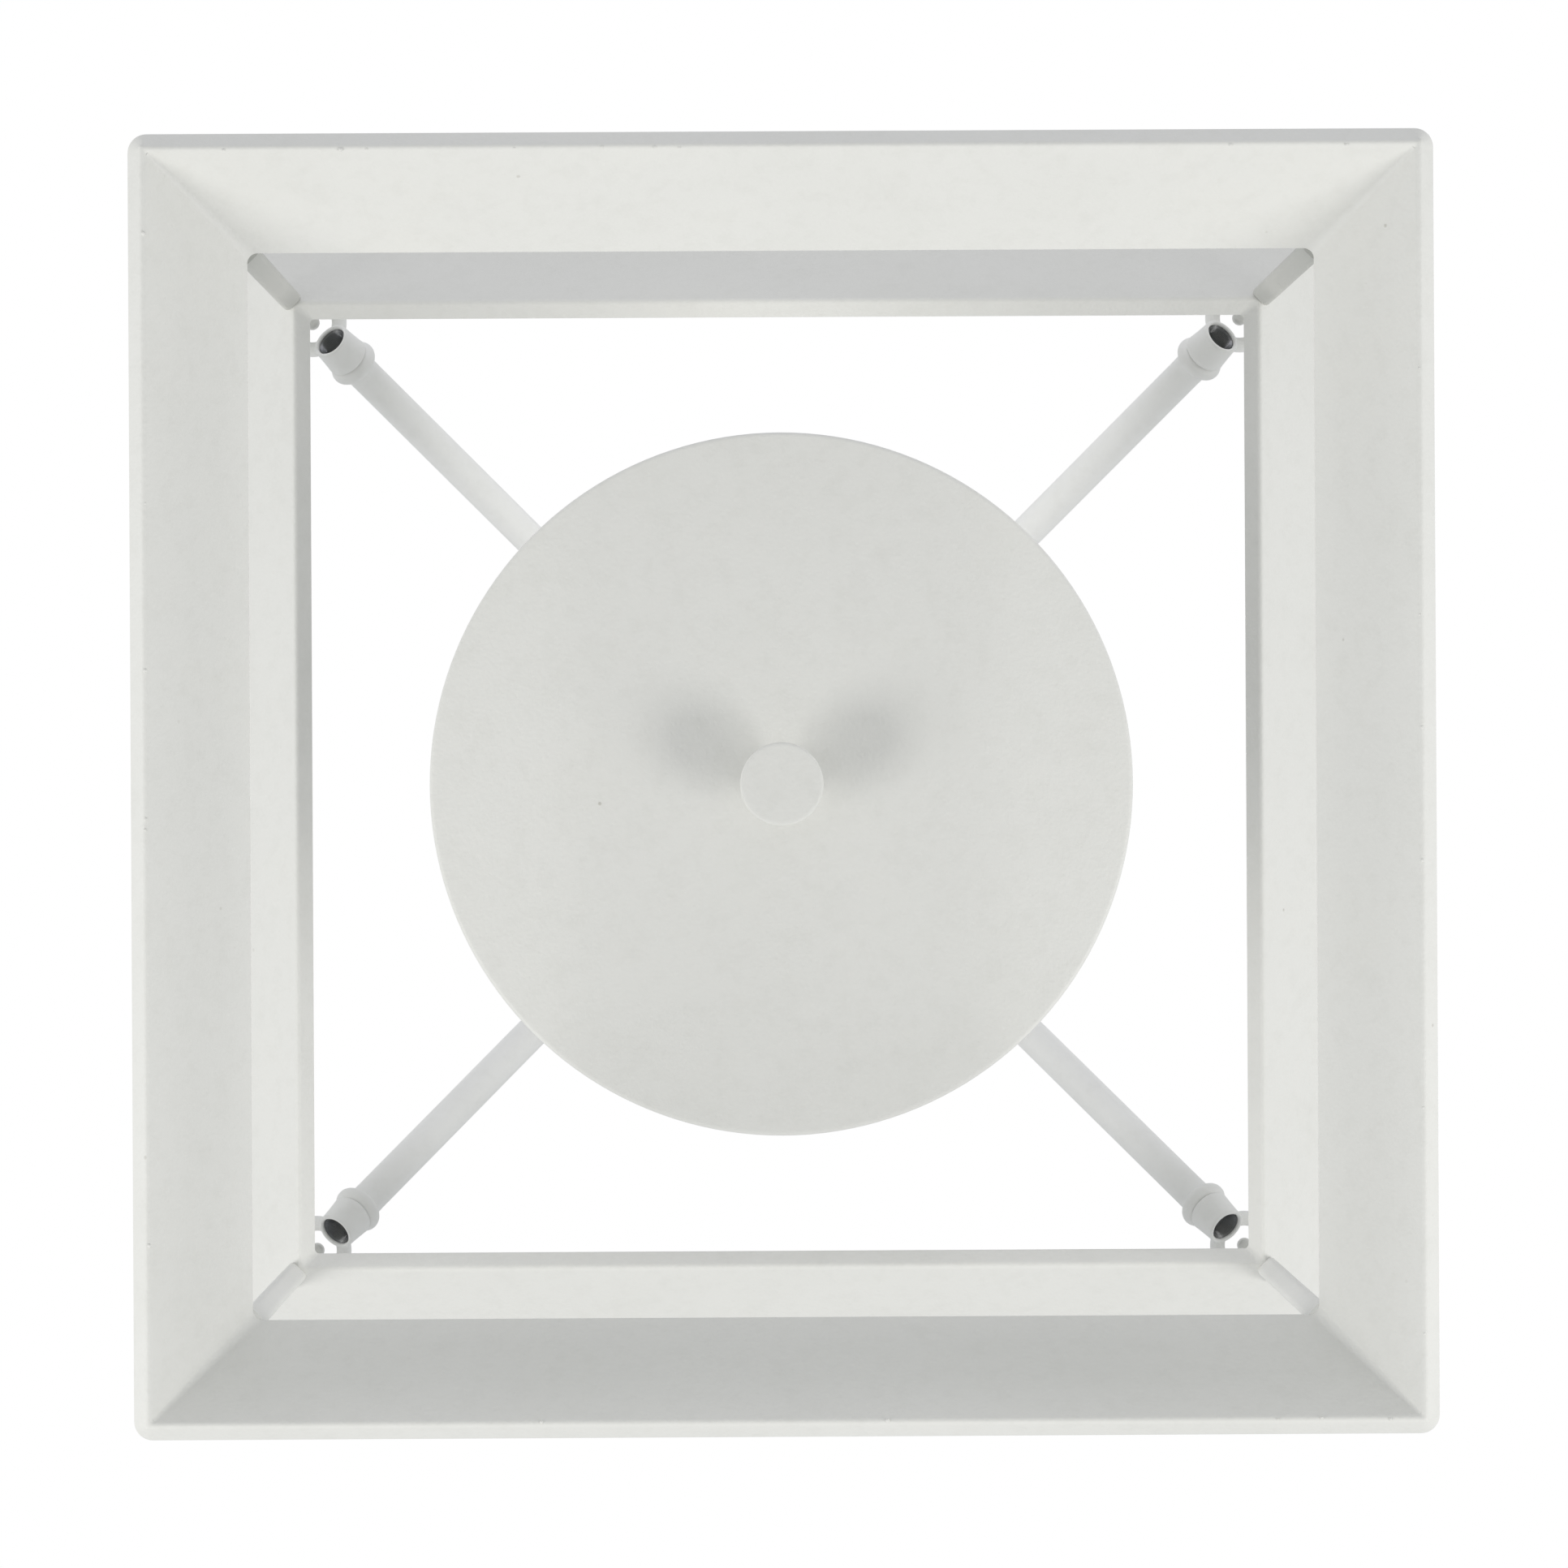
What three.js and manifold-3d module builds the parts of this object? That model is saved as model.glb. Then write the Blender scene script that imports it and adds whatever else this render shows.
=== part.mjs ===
// Square hanging lantern: open cage hung by four corner hooks on the eye rings of a four-arm
// suspension, with a round candle tray, a finial knob and a ceiling canopy with a swivel.
// Millimetres, +Z up. The origin is on the ceiling, at the centre of the canopy.
import * as THREE from "three";
import { mergeVertices } from "three/addons/utils/BufferGeometryUtils.js";
import Module from "manifold-3d";

const wasm = await Module();
wasm.setup();

// ---- driving dimensions ----
const TOTAL_HEIGHT = 740; // bottom rim to ceiling
const GAP = 0.3; // between pieces that touch

const OUTER_HALF = 225.2; // half the width over the rims
const RIM_THICK = 5.8;
const RIM_TALL = 14;
const RIM_CORNER = 6.5;
const NECK_HALF = 185.9; // inner half width where the flared plates are narrowest
const FLARE_RISE = 37.4;
const PLATE_THICK = 2.5;
const CAGE_HEIGHT = 379; // over both rims
const RIM_SLOPE = 7.6; // height of the sloping outer face of each rim
const RIDGE_HALF = 184.2; // half width at the sharp lower edge of the top ring
const RIDGE_DROP = 53; // top of the cage down to that edge
const LIP_WIDE = 5.9; // the lip folded inward from it
const LIP_RISE = 6;
const POST_SIZE = 9; // corner bars, one flat face turned to the middle
const POST_CORNER = 2;

const ROD_DIA = 13;
const ROD_RISE_DEG = 40;
const MOUTH_HALF = 173.8; // each ferrule mouth centre, from the middle planes
const MOUTH_Z = 399;
const BEAD_DIA = 19.2;
const MOUTH_DIA = 15.2;
const BORE_DIA = 12;
const FERRULE_LONG = 24;

const EYE_HALF = 181.6; // each eye ring centre, from the middle planes
const EYE_OFF_AXIS = 12.92; // from a rod's axis to the near side of its eye ring
const EYE_RADIUS = 10.6;
const WIRE_DIA = 5.8; // bar of the eye rings and the hooks
const HOOK_TIP_Z = 399;
const HOOK_SEAT = 1.16; // foot of a hook shank above the plate it stands on

const TRAY_DIA = 256.6;
const TRAY_Z = 180;
const TRAY_TALL = 9;
const TRAY_THICK = 2.2;
const KNOB_DIA = 30.2;
const KNOB_DROP = 28; // tray down to the foot of the knob
const KNOB_TALL = 12;
const STEM_DIA = 11;

const TUBE_DIA = 16;
const TUBE_BORE = 9;
const HUB_DIA = 52;

const CANDLE_COUNT = 4;
const CANDLE_CIRCLE = 76; // radius of the circle of candles
const CUP_DIA = 44;
const SLEEVE_DIA = 22;
const SLEEVE_TALL = 88;
const BULB_DIA = 34;
const BULB_TALL = 82;

const CANOPY_DIA = 130;
const CANOPY_DEEP = 24;
const SWIVEL_Z = 688;
const PIN_DIA = 6;
const BAR_THICK = 4;
const BAR_LONG = 110;
const BAR_WIDE = 20;
const BOX_SCREW_SPACING = 70; // between the two holes for the ceiling box

// ---- helpers ----
const rad = THREE.MathUtils.degToRad;

// The geometry with its faces turned outwards.
function outward(geometry) {
  const g = mergeVertices(geometry, 1e-4);
  const p = g.getAttribute("position");
  const index = g.index.array;
  const a = new THREE.Vector3();
  const b = new THREE.Vector3();
  const c = new THREE.Vector3();
  let volume = 0;
  for (let i = 0; i < index.length; i += 3) {
    a.fromBufferAttribute(p, index[i]);
    b.fromBufferAttribute(p, index[i + 1]);
    c.fromBufferAttribute(p, index[i + 2]);
    volume += a.dot(b.cross(c));
  }
  if (volume < 0) {
    for (let i = 0; i < index.length; i += 3) {
      const first = index[i];
      index[i] = index[i + 1];
      index[i + 1] = first;
    }
  }
  g.computeVertexNormals();
  return g;
}

function bare(geometry) {
  const g = geometry.clone();
  g.deleteAttribute("uv");
  g.deleteAttribute("normal");
  return g;
}

function solidOf(geometry) {
  const g = outward(bare(geometry));
  return new wasm.Manifold(
    new wasm.Mesh({
      numProp: 3,
      vertProperties: new Float32Array(g.getAttribute("position").array),
      triVerts: new Uint32Array(g.index.array),
    }),
  );
}

function geometryOf(solid) {
  const m = solid.getMesh();
  const n = m.numProp;
  const v = new Float32Array(m.numVert * 3);
  for (let i = 0; i < m.numVert; i++) {
    v.set(m.vertProperties.subarray(i * n, i * n + 3), i * 3);
  }
  const g = new THREE.BufferGeometry();
  g.setAttribute("position", new THREE.BufferAttribute(v, 3));
  g.setIndex(new THREE.BufferAttribute(m.triVerts, 1));
  g.computeVertexNormals();
  return g;
}

function join(...pieces) {
  return geometryOf(pieces.map(solidOf).reduce((all, one) => all.add(one)));
}

function cut(piece, ...tools) {
  return geometryOf(tools.map(solidOf).reduce((left, one) => left.subtract(one), solidOf(piece)));
}

// A closed [radius, z] profile turned about the Z axis.
function turned(points, segments) {
  const outline = points.map(([r, z]) => new THREE.Vector2(r, z));
  const closed = points[0][0] > 1e-6 || points[points.length - 1][0] > 1e-6;
  if (closed) {
    outline.push(outline[0].clone());
  }
  const g = new THREE.LatheGeometry(outline, segments);
  g.rotateX(Math.PI / 2);
  return outward(bare(g));
}

function bar(radius, z0, z1, segments = 20) {
  return turned([[0, z0], [radius, z0], [radius, z1], [0, z1]], segments);
}

function box(x0, x1, y0, y1, z0, z1) {
  const g = new THREE.BoxGeometry(x1 - x0, y1 - y0, z1 - z0);
  g.translate((x0 + x1) / 2, (y0 + y1) / 2, (z0 + z1) / 2);
  return g;
}

// A ring of points around a square with rounded corners, at one height.
function squareLoop(half, corner, z, steps) {
  const loop = [];
  for (let q = 0; q < 4; q++) {
    const turn = (q * Math.PI) / 2;
    for (let s = 0; s <= steps; s++) {
      const a = (s / steps) * (Math.PI / 2);
      const x = half - corner + corner * Math.cos(a);
      const y = half - corner + corner * Math.sin(a);
      loop.push([
        x * Math.cos(turn) - y * Math.sin(turn),
        x * Math.sin(turn) + y * Math.cos(turn),
        z,
      ]);
    }
  }
  return loop;
}

// A closed [half width, z, corner radius] profile carried around a square, mitred at the corners.
function squareFrame(profile, steps = 3) {
  const loops = profile.map(([half, z, corner]) => squareLoop(half, corner, z, steps));
  const count = loops[0].length;
  const index = [];
  for (let i = 0; i < loops.length; i++) {
    const j = (i + 1) % loops.length;
    for (let k = 0; k < count; k++) {
      const m = (k + 1) % count;
      index.push(i * count + k, j * count + k, j * count + m);
      index.push(i * count + k, j * count + m, i * count + m);
    }
  }
  const g = new THREE.BufferGeometry();
  g.setAttribute("position", new THREE.Float32BufferAttribute(loops.flat(2), 3));
  g.setIndex(index);
  return outward(g);
}

// A round bar along a path of points.
function bentBar(points, radius, segments, sides) {
  const circle = new THREE.Shape();
  circle.absarc(0, 0, radius, 0, Math.PI * 2, false);
  const curve = new THREE.CatmullRomCurve3(points, false, "centripetal");
  const g = new THREE.ExtrudeGeometry(circle, {
    steps: segments,
    curveSegments: sides,
    extrudePath: curve,
    bevelEnabled: false,
  });
  return outward(bare(g));
}

// ---- materials ----
const COATING = { color: 0xd9dad5, roughness: 0.62, metalness: 0.0 };
const STEEL = { color: 0x8a8d90, roughness: 0.35, metalness: 0.9 };
const LINEN = { color: 0xe9e5da, roughness: 0.5, metalness: 0.0 };
const DARK = { color: 0x2b2b2d, roughness: 0.5, metalness: 0.0 };
const GLASS = { color: 0xe8eef0, roughness: 0.1, metalness: 0.0, transparent: true, opacity: 0.6 };

const lantern = new THREE.Group();
lantern.name = "square_hanging_lantern";
const hung = new THREE.Group();
hung.position.z = -TOTAL_HEIGHT;
lantern.add(hung);

function place(name, geometry, look) {
  const mesh = new THREE.Mesh(geometry, new THREE.MeshStandardMaterial(look));
  mesh.name = name;
  hung.add(mesh);
  return mesh;
}

// ---- cage: rims, flared plates, folded lip ----
const innerRim = OUTER_HALF - RIM_THICK;
const roundEdge = 2.2;

// Half width, height above the sharp edge, corner radius.
function rimProfile() {
  const c = RIM_CORNER;
  const s = 0.4;
  const e = roundEdge;
  const k = e * (1 - Math.SQRT1_2);
  return [
    [innerRim, 0.5, s],
    [innerRim + 0.5, 0, s + 0.5],
    [OUTER_HALF - 0.9, RIM_SLOPE - 1.2, c - 0.9],
    [OUTER_HALF - 0.2, RIM_SLOPE - 0.1, c - 0.2],
    [OUTER_HALF, RIM_SLOPE + 0.9, c],
    [OUTER_HALF, RIM_TALL - e, c],
    [OUTER_HALF - k, RIM_TALL - k, c - k],
    [OUTER_HALF - e, RIM_TALL, c - e],
    [innerRim + 0.5, RIM_TALL, s + 0.5],
    [innerRim, RIM_TALL - 0.5, s],
  ];
}

place("bottom_rim", squareFrame(rimProfile()), COATING);
const upturned = rimProfile().map(([half, z, c]) => [half, CAGE_HEIGHT - z, c]);
place("top_rim", squareFrame(upturned.reverse()), COATING);

const flareRun = innerRim - GAP - NECK_HALF;
const flareSlant = Math.hypot(flareRun, FLARE_RISE);
const acrossFlare = (PLATE_THICK * flareSlant) / FLARE_RISE;
const upFlare = (PLATE_THICK * flareSlant) / flareRun;
const flareFoot = 1.1;

place(
  "bottom_bevel",
  squareFrame([
    [innerRim - GAP, flareFoot, 0.3],
    [NECK_HALF, flareFoot + FLARE_RISE, 2.6],
    [NECK_HALF + acrossFlare, flareFoot + FLARE_RISE, 3.2],
    [innerRim - GAP, flareFoot + upFlare, 0.3],
  ]),
  COATING,
);

const ridgeZ = CAGE_HEIGHT - RIDGE_DROP;
const lipTip = RIDGE_HALF - LIP_WIDE;
place(
  "top_lip",
  squareFrame([
    [lipTip, ridgeZ + LIP_RISE, 1.4],
    [lipTip + 0.3, ridgeZ + LIP_RISE - 0.8, 1.5],
    [RIDGE_HALF - 0.7, ridgeZ + 0.1, 2.4],
    [RIDGE_HALF - 0.3, ridgeZ, 2.6],
    [RIDGE_HALF, ridgeZ + 0.5, 2.8],
    [RIDGE_HALF, ridgeZ + 3.6, 2.8],
    [lipTip + 1.9, ridgeZ + LIP_RISE + 1.7, 2],
    [lipTip + 1, ridgeZ + LIP_RISE + 1.6, 1.7],
  ]),
  COATING,
);

const crownIn = RIDGE_HALF + GAP;
const crownFoot = ridgeZ + 1.4;
const crownHead = CAGE_HEIGHT - 4;
const crownRun = innerRim - GAP - crownIn;
const crownRise = crownHead - crownFoot - 6;
const crownUp = (PLATE_THICK * Math.hypot(crownRun, crownRise)) / crownRun;
place(
  "top_bevel",
  squareFrame([
    [crownIn, crownFoot, 3.6],
    [innerRim - GAP, crownFoot + crownRise, 0.3],
    [innerRim - GAP, crownFoot + crownRise + crownUp, 0.3],
    [crownIn, crownFoot + crownUp, 3.6],
  ]),
  COATING,
);

// ---- cage: corner posts ----
const postFoot = flareFoot + FLARE_RISE + GAP;
const postHead = ridgeZ - GAP;

function post(sx, sy) {
  const shape = new THREE.Shape();
  const h = POST_SIZE / 2;
  const c = POST_CORNER;
  shape.moveTo(-h + c, -h);
  shape.lineTo(h - c, -h);
  shape.absarc(h - c, -h + c, c, -Math.PI / 2, 0, false);
  shape.lineTo(h, h - c);
  shape.absarc(h - c, h - c, c, 0, Math.PI / 2, false);
  shape.lineTo(-h + c, h);
  shape.absarc(-h + c, h - c, c, Math.PI / 2, Math.PI, false);
  shape.lineTo(-h, -h + c);
  shape.absarc(-h + c, -h + c, c, Math.PI, Math.PI * 1.5, false);
  const g = new THREE.ExtrudeGeometry(shape, {
    depth: postHead - postFoot,
    curveSegments: 4,
    bevelEnabled: false,
  });
  const at = RIDGE_HALF + 2.8;
  g.rotateZ(Math.PI / 4);
  g.translate(sx * at, sy * at, postFoot);
  return outward(bare(g));
}

// ---- corners: hooks, eye rings, ferrules, rods ----
const mouthOut = MOUTH_HALF * Math.SQRT2;
const eyeOut = EYE_HALF * Math.SQRT2;
const riseAngle = rad(ROD_RISE_DEG);
const eyeStep = eyeOut - EYE_RADIUS - mouthOut;
const eyeZ = MOUTH_Z + (EYE_OFF_AXIS - eyeStep * Math.sin(riseAngle)) / Math.cos(riseAngle);
const hubZ = MOUTH_Z + mouthOut * Math.tan(riseAngle);
const mouthToHub = mouthOut / Math.cos(riseAngle);
const wire = WIRE_DIA / 2;

// Carries a shape made along +Z, foot at the ferrule mouth, onto the rod of one corner.
function ontoRod(geometry, angle) {
  const g = geometry.clone();
  g.rotateY(riseAngle - Math.PI / 2);
  g.translate(mouthOut, 0, MOUTH_Z);
  g.rotateZ(angle);
  return g;
}

function ferrule() {
  const b = BORE_DIA / 2;
  const m = MOUTH_DIA / 2;
  const r = BEAD_DIA / 2;
  const neck = 8.4;
  const bead = 15.6;
  const outline = [
    [0, 11],
    [b, 11],
    [b, 0.6],
    [b + 0.5, 0],
    [m - 0.6, 0],
    [m, 0.6],
    [neck - 0.5, 9],
    [neck, 11.6],
    [neck, 12.1],
  ];
  for (let s = 0; s <= 6; s++) {
    const a = -Math.PI / 2 + (s / 6) * Math.PI;
    outline.push([r - 3.2 + 3.2 * Math.cos(a), bead + 3.2 * Math.sin(a)]);
  }
  outline.push([ROD_DIA / 2 + 0.9, 19.4]);
  outline.push([ROD_DIA / 2 + 0.4, FERRULE_LONG]);
  outline.push([0, FERRULE_LONG]);
  return turned(outline, 20);
}

function insert() {
  const b = BORE_DIA / 2 - GAP;
  return turned(
    [
      [2.6, 10.4],
      [b, 10.4],
      [b, 1.2],
      [b - 0.8, 1.2],
      [b - 1.3, 2],
      [b - 1.3, 7.2],
      [2.6, 7.8],
    ],
    16,
  );
}

function rod() {
  const foot = FERRULE_LONG + GAP;
  const head = mouthToHub - HUB_DIA / 2 - GAP;
  const r = ROD_DIA / 2;
  return turned([[0, foot], [r, foot], [r, head], [0, head]], 24);
}

// Outer radius of a ferrule at a distance from its mouth, for what rests on it.
function ferruleRadius(at) {
  const cone = MOUTH_DIA / 2 + 0.12 * Math.max(0, at);
  const past = at - 15.6;
  const bead = Math.abs(past) < 3.2 ? BEAD_DIA / 2 - 3.2 + Math.sqrt(3.2 * 3.2 - past * past) : 0;
  return Math.max(at < 12.1 ? Math.min(cone, 8.4) : 0, bead, ROD_DIA / 2 + 0.9);
}

function eyeRing(angle) {
  const torus = new THREE.TorusGeometry(EYE_RADIUS, wire, 10, 26);
  torus.translate(eyeOut, 0, eyeZ);
  const padOut = eyeOut - EYE_RADIUS - 0.6;
  const padHalf = 1.9;
  const inward = mouthOut - padOut + padHalf;
  const up = Math.sin(riseAngle);
  const level = Math.cos(riseAngle);
  let along = 9;
  for (let k = 0; k < 12; k++) along = (inward + ferruleRadius(along) * up) / level;
  const padFoot = MOUTH_Z + along * up + ferruleRadius(along) * level + GAP;
  const pad = bar(padHalf, padFoot, eyeZ, 12);
  pad.translate(padOut, 0, 0);
  const g = join(torus, pad);
  g.rotateZ(angle);
  return g;
}

// Inverted J: the shank stands in the crown corner, the arch passes over the eye ring, the tip
// comes down through it.
function hook(angle) {
  const bend = 9.6;
  const tipOut = eyeOut - 0.3;
  const shankOut = tipOut + 2 * bend;
  const crest = eyeZ + wire + 2.5 * GAP - (bend - wire);
  const points = [];
  const seatHalf = (shankOut + wire) * Math.SQRT1_2;
  const seat = crownFoot + crownUp + ((seatHalf - crownIn) * crownRise) / crownRun;
  const base = seat + HOOK_SEAT;
  points.push(new THREE.Vector3(shankOut, 0, base));
  points.push(new THREE.Vector3(shankOut, 0, (base + crest) / 2));
  for (let s = 0; s <= 8; s++) {
    const a = (s / 8) * Math.PI;
    points.push(
      new THREE.Vector3(tipOut + bend + bend * Math.cos(a), 0, crest + bend * Math.sin(a)),
    );
  }
  points.push(new THREE.Vector3(tipOut, 0, HOOK_TIP_Z + 0.1));
  const g = bentBar(points, wire, 16, 6);
  g.rotateZ(angle);
  return g;
}

const corners = [[1, 1], [-1, 1], [-1, -1], [1, -1]];
corners.forEach(([sx, sy], i) => {
  const n = i + 1;
  const angle = Math.PI / 4 + (i * Math.PI) / 2;
  place("post_" + n, post(sx, sy), COATING);
  place("corner_hook_" + n, hook(angle), COATING);
  place("eye_ring_" + n, eyeRing(angle), COATING);
  place("ferrule_" + n, ontoRod(ferrule(), angle), COATING);
  place("thread_insert_" + n, ontoRod(insert(), angle), STEEL);
  place("rod_" + n, ontoRod(rod(), angle), COATING);
});

// ---- hub and centre tube ----
const tubeHead = hubZ - HUB_DIA / 2 + 4;
const tubeFoot = TRAY_Z - 6;

function hub() {
  const r = HUB_DIA / 2;
  const outline = [];
  outline.push([0, hubZ - r]);
  for (let s = 1; s < 12; s++) {
    const a = -Math.PI / 2 + (s / 12) * Math.PI;
    outline.push([r * Math.cos(a), hubZ + r * Math.sin(a)]);
  }
  outline.push([0, hubZ + r]);
  const ball = turned(outline, 28);
  const socket = bar(TUBE_DIA / 2 + GAP, hubZ - r - 2, tubeHead + GAP, 28);
  const top = bar(8 + GAP, hubZ + r - 4, hubZ + r + 2, 28);
  return cut(ball, socket, top);
}

place("hub", hub(), COATING);
place(
  "centre_tube",
  turned(
    [
      [TUBE_BORE / 2, tubeFoot],
      [TUBE_DIA / 2, tubeFoot],
      [TUBE_DIA / 2, tubeHead],
      [TUBE_BORE / 2, tubeHead],
    ],
    28,
  ),
  COATING,
);

// ---- tray, locknut, finial ----
function tray() {
  const r = TRAY_DIA / 2;
  const t = TRAY_THICK;
  const e = 1.6;
  const hole = TUBE_DIA / 2 + GAP;
  const outline = [[hole, TRAY_Z], [r - e, TRAY_Z]];
  for (let s = 1; s <= 3; s++) {
    const a = -Math.PI / 2 + (s / 3) * (Math.PI / 2);
    outline.push([r - e + e * Math.cos(a), TRAY_Z + e + e * Math.sin(a)]);
  }
  outline.push([r, TRAY_Z + TRAY_TALL - 0.6]);
  outline.push([r - 0.6, TRAY_Z + TRAY_TALL]);
  outline.push([r - t + 0.4, TRAY_Z + TRAY_TALL]);
  outline.push([r - t, TRAY_Z + TRAY_TALL - 0.4]);
  outline.push([r - t, TRAY_Z + t + 1]);
  outline.push([r - t - 1, TRAY_Z + t]);
  outline.push([hole, TRAY_Z + t]);
  return turned(outline, 80);
}

function hexNut(across, hole, z0, z1) {
  const r = across / 2 / Math.cos(Math.PI / 6);
  const body = new THREE.CylinderGeometry(r, r, z1 - z0, 6);
  body.rotateX(Math.PI / 2);
  body.translate(0, 0, (z0 + z1) / 2);
  return cut(body, bar(hole, z0 - 1, z1 + 1, 28));
}

place("tray", tray(), COATING);
place(
  "tray_locknut",
  hexNut(26, TUBE_DIA / 2 + GAP, TRAY_Z + TRAY_THICK + GAP, TRAY_Z + TRAY_THICK + 7),
  COATING,
);

const stemHead = tubeFoot - GAP;
const knobZ = TRAY_Z - KNOB_DROP;
place(
  "finial_stem",
  turned(
    [
      [0, knobZ + 5],
      [3, knobZ + 5],
      [3, knobZ + KNOB_TALL + GAP],
      [STEM_DIA / 2, knobZ + KNOB_TALL + GAP],
      [STEM_DIA / 2, stemHead - 5],
      [TUBE_DIA / 2, stemHead - 2.5],
      [TUBE_DIA / 2, stemHead],
      [0, stemHead],
    ],
    28,
  ),
  COATING,
);

place(
  "finial_knob",
  turned(
    [
      [0, knobZ],
      [KNOB_DIA / 2 - 1, knobZ],
      [KNOB_DIA / 2 - 0.3, knobZ + 0.3],
      [KNOB_DIA / 2, knobZ + 1],
      [KNOB_DIA / 2, knobZ + KNOB_TALL - 5],
      [KNOB_DIA / 2 - 1.6, knobZ + KNOB_TALL - 2],
      [STEM_DIA / 2 + 2, knobZ + KNOB_TALL],
      [3 + GAP, knobZ + KNOB_TALL],
      [3 + GAP, knobZ + 5 - GAP],
      [0, knobZ + 5 - GAP],
    ],
    48,
  ),
  COATING,
);

// ---- candles: drip cup, socket, sleeve, bulb ----
const cupFoot = TRAY_Z + TRAY_THICK + GAP;
const sleeveFoot = cupFoot + 3.5;
const sleeveHead = sleeveFoot + SLEEVE_TALL;

function dripCup() {
  const r = CUP_DIA / 2;
  return turned(
    [
      [0, cupFoot],
      [r * 0.55, cupFoot],
      [r - 1.5, cupFoot + 4],
      [r, cupFoot + 9],
      [r - 1.6, cupFoot + 9.4],
      [r - 3.2, cupFoot + 5],
      [SLEEVE_DIA / 2 + 2, cupFoot + 3.2],
      [0, cupFoot + 3.2],
    ],
    24,
  );
}

function sleeve() {
  const r = SLEEVE_DIA / 2;
  return turned(
    [
      [r - 1.4, sleeveFoot],
      [r, sleeveFoot],
      [r, sleeveHead - 0.8],
      [r - 0.8, sleeveHead],
      [r - 1.4, sleeveHead - 0.4],
    ],
    20,
  );
}

const socketOut = SLEEVE_DIA / 2 - 1.4 - GAP;
const bulbNeck = 6.6;

function lampSocket() {
  return turned(
    [
      [0, sleeveFoot],
      [socketOut, sleeveFoot],
      [socketOut, sleeveHead - 3],
      [bulbNeck + GAP, sleeveHead - 3],
      [bulbNeck + GAP, sleeveHead - 27],
      [0, sleeveHead - 27],
    ],
    16,
  );
}

function bulb() {
  const r = BULB_DIA / 2;
  const foot = sleeveHead - 26;
  const outline = [
    [0, foot],
    [3.4, foot],
    [3.8, foot + 2],
    [bulbNeck, foot + 3.4],
    [bulbNeck, sleeveHead - 1],
    [bulbNeck + 1.6, sleeveHead + 2],
  ];
  for (let s = 1; s <= 6; s++) {
    const t = s / 7;
    const belly = Math.sin(Math.PI * Math.pow(t, 0.72)) * (r - 4) + 4 * (1 - t);
    outline.push([belly + 0.8, sleeveHead + 2 + t * (BULB_TALL - 26)]);
  }
  outline.push([0, sleeveHead + 2 + BULB_TALL - 26]);
  return turned(outline, 16);
}

for (let i = 0; i < CANDLE_COUNT; i++) {
  const n = i + 1;
  const a = (i * 2 * Math.PI) / CANDLE_COUNT;
  const x = CANDLE_CIRCLE * Math.cos(a);
  const y = CANDLE_CIRCLE * Math.sin(a);
  place("drip_cup_" + n, dripCup().translate(x, y, 0), COATING);
  place("candle_sleeve_" + n, sleeve().translate(x, y, 0), LINEN);
  place("lamp_socket_" + n, lampSocket().translate(x, y, 0), DARK);
  place("bulb_" + n, bulb().translate(x, y, 0), GLASS);
}

// ---- swivel: ceiling fork, cross, stem fork ----
const pin = PIN_DIA / 2;
const crossHalf = 6;
const cheekIn = crossHalf + GAP;
const cheekOut = cheekIn + 4;
const cheekHalf = 4.7;
const reachPast = 5;
const bridge = 18;

function cross() {
  const block = box(-crossHalf, crossHalf, -crossHalf, crossHalf, SWIVEL_Z - 5, SWIVEL_Z + 5);
  const alongX = bar(pin, -cheekOut, cheekOut, 20);
  alongX.rotateY(Math.PI / 2);
  alongX.translate(0, 0, SWIVEL_Z);
  const alongY = bar(pin, -cheekOut, cheekOut, 20);
  alongY.rotateX(Math.PI / 2);
  alongY.translate(0, 0, SWIVEL_Z);
  return join(block, alongX, alongY);
}

// A fork above the swivel centre, its cheeks on the Y pins.
function fork() {
  const plate = box(-8, 8, -cheekOut, cheekOut, bridge, bridge + 5);
  const left = box(-cheekHalf, cheekHalf, -cheekOut, -cheekIn, -reachPast, bridge + 1);
  const right = box(-cheekHalf, cheekHalf, cheekIn, cheekOut, -reachPast, bridge + 1);
  const hole = bar(pin + GAP, -20, 20, 24);
  hole.rotateX(Math.PI / 2);
  return cut(join(plate, left, right), hole);
}

const canopyFoot = TOTAL_HEIGHT - CANOPY_DEEP;
const upperFork = fork();
const nipple = bar(5, bridge + 4, TOTAL_HEIGHT - 2 - SWIVEL_Z, 24);
place("ceiling_fork", join(upperFork, nipple).translate(0, 0, SWIVEL_Z), COATING);
place("swivel_cross", cross(), STEEL);

const lowerFork = fork();
lowerFork.rotateX(Math.PI);
lowerFork.rotateZ(Math.PI / 2);
const stemFoot = hubZ + HUB_DIA / 2 - 4 + GAP;
const stem = bar(8, stemFoot - SWIVEL_Z, -bridge - 4, 28);
place("top_stem", join(lowerFork, stem).translate(0, 0, SWIVEL_Z), COATING);

// ---- canopy, collar, mounting bar, screws ----
const screwOut = 48;
const screwHole = 2.4;

function canopy() {
  const r = CANOPY_DIA / 2;
  const dish = turned(
    [
      [5.6, canopyFoot],
      [r - 9, canopyFoot],
      [r - 3, canopyFoot + 2.5],
      [r, canopyFoot + 9],
      [r, TOTAL_HEIGHT],
      [r - 1.8, TOTAL_HEIGHT],
      [r - 1.8, canopyFoot + 9.6],
      [r - 4.4, canopyFoot + 4],
      [r - 9.6, canopyFoot + 1.8],
      [5.6, canopyFoot + 1.8],
    ],
    64,
  );
  const holes = [-screwOut, screwOut].map((x) =>
    bar(screwHole, canopyFoot - 2, canopyFoot + 5, 16).translate(x, 0, 0),
  );
  return cut(dish, ...holes);
}

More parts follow.
